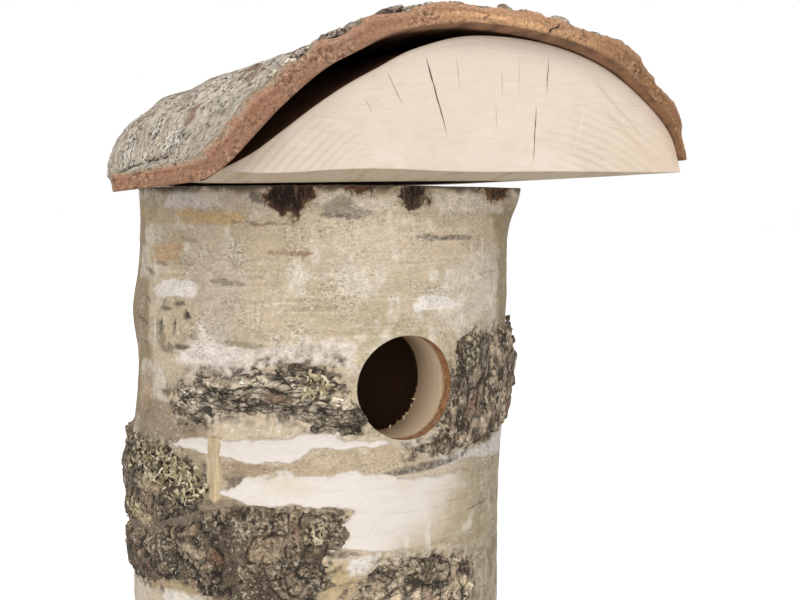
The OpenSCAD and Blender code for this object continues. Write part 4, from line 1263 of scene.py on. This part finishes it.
raised("knot", KNOT, knot_form, PAPER, 0.3)
for name, outline, code, deep, seed in (
        ("scar_wide", SCAR_WIDE, "5B3F2E", "23160F", 141),
        ("scar_small", SCAR_SMALL, "6B4A34", "3A271B", 147),
        ("scar_deep", SCAR_DEEP, "4A3D30", "1E1712", 153),
        ("scar_right", SCAR_RIGHT, "6E4A33", "33200F", 159)):
    raised(name, outline, scar_form(outline, code, deep, seed), TORN, 0.22)
roof_slab(END_GRAIN, SIDE_WOOD)
roof_bark(CRUST, CORK, BAST)
lichen_tufts(LICHEN)
crumbs(OLD["even"])
roof_flakes(CRUST)
scar_hairs(TORN)
bore_frays(SIDE_WOOD)


# Floor, light and camera

def floor():
    """Plain pale floor: a wide square. It takes the object's shadow, and what the camera sees of it is
    lifted to white."""
    mesh = bpy.data.meshes.new("floor")
    half = 6.0
    ends = [(-half, -half, 0), (half, -half, 0), (half, half, 0), (-half, half, 0)]
    mesh.from_pydata(ends, [], [(0, 1, 2, 3)])
    piece = bpy.data.objects.new("floor", mesh)
    bpy.context.scene.collection.objects.link(piece)
    material, tree = new_material("pale_floor")
    seen = add(tree, "ShaderNodeLightPath").outputs["Is Camera Ray"]
    glow = maths(tree, "MULTIPLY", seen, 0.52)
    shader = add(tree, "ShaderNodeBsdfPrincipled", {"Base Color": (0.8, 0.8, 0.8, 1), "Roughness": 0.9,
                                                   "Emission Color": (1, 1, 1, 1), "Emission Strength": glow})
    add(tree, "ShaderNodeOutputMaterial", {"Surface": shader.outputs[0]})
    mesh.materials.append(material)


def soft_sun(name, aim, spread, strength):
    """Even soft light from far away: the direction it comes from, its angular spread and its strength."""
    data = bpy.data.lights.new(name, "SUN")
    data.angle = np.radians(spread)
    data.energy = strength
    light = bpy.data.objects.new(name, data)
    bpy.context.scene.collection.objects.link(light)
    back = np.array(aim, float) / np.linalg.norm(aim)
    right = np.cross((0, 0, 1), back)
    right = right / np.linalg.norm(right)
    turn = np.stack([right, np.cross(back, right), back], 1)
    light.matrix_world = Matrix([[*turn[i], 0] for i in range(3)] + [[0, 0, 0, 1]])


floor()
soft_sun("key_light", (-0.66, -0.8, 0.2), 40, 1.8)
soft_sun("fill_light", (0.15, -0.95, 0.12), 50, 0.6)
soft_sun("top_light", (-0.2, -0.3, 1.0), 60, 0.5)
soft_sun("back_light", (0.5, 0.9, 0.3), 60, 0.6)

world = bpy.data.worlds.new("studio")
bpy.context.scene.world = world
world.use_nodes = True
sky_tree = world.node_tree
sky_tree.nodes.clear()
path = add(sky_tree, "ShaderNodeLightPath").outputs
seen = maths(sky_tree, "MAXIMUM", path["Is Camera Ray"], path["Is Glossy Ray"])
level = ranged(sky_tree, seen, 0.0, 1.0, 0.42, 1.0)
sky = add(sky_tree, "ShaderNodeBackground", {"Color": (1, 1, 1, 1), "Strength": level})
add(sky_tree, "ShaderNodeOutputWorld", {"Surface": sky.outputs[0]})

# the photograph's view, worked out from the log's outlines: close, a little below the roof
camera = bpy.data.objects.new("camera", bpy.data.cameras.new("camera"))
camera.data.lens = 58.89
camera.data.sensor_width = 36
camera.data.clip_start = 0.02
bpy.context.scene.collection.objects.link(camera)
camera.matrix_world = Matrix([(0.88778, 0.03339, -0.45906, -0.18339),
                              (-0.46027, 0.06440, -0.88544, -0.41099),
                              (0.0, 0.99737, 0.07254, 0.184355), (0, 0, 0, 1)])
bpy.context.scene.camera = camera
bpy.context.scene.view_settings.view_transform = "Standard"
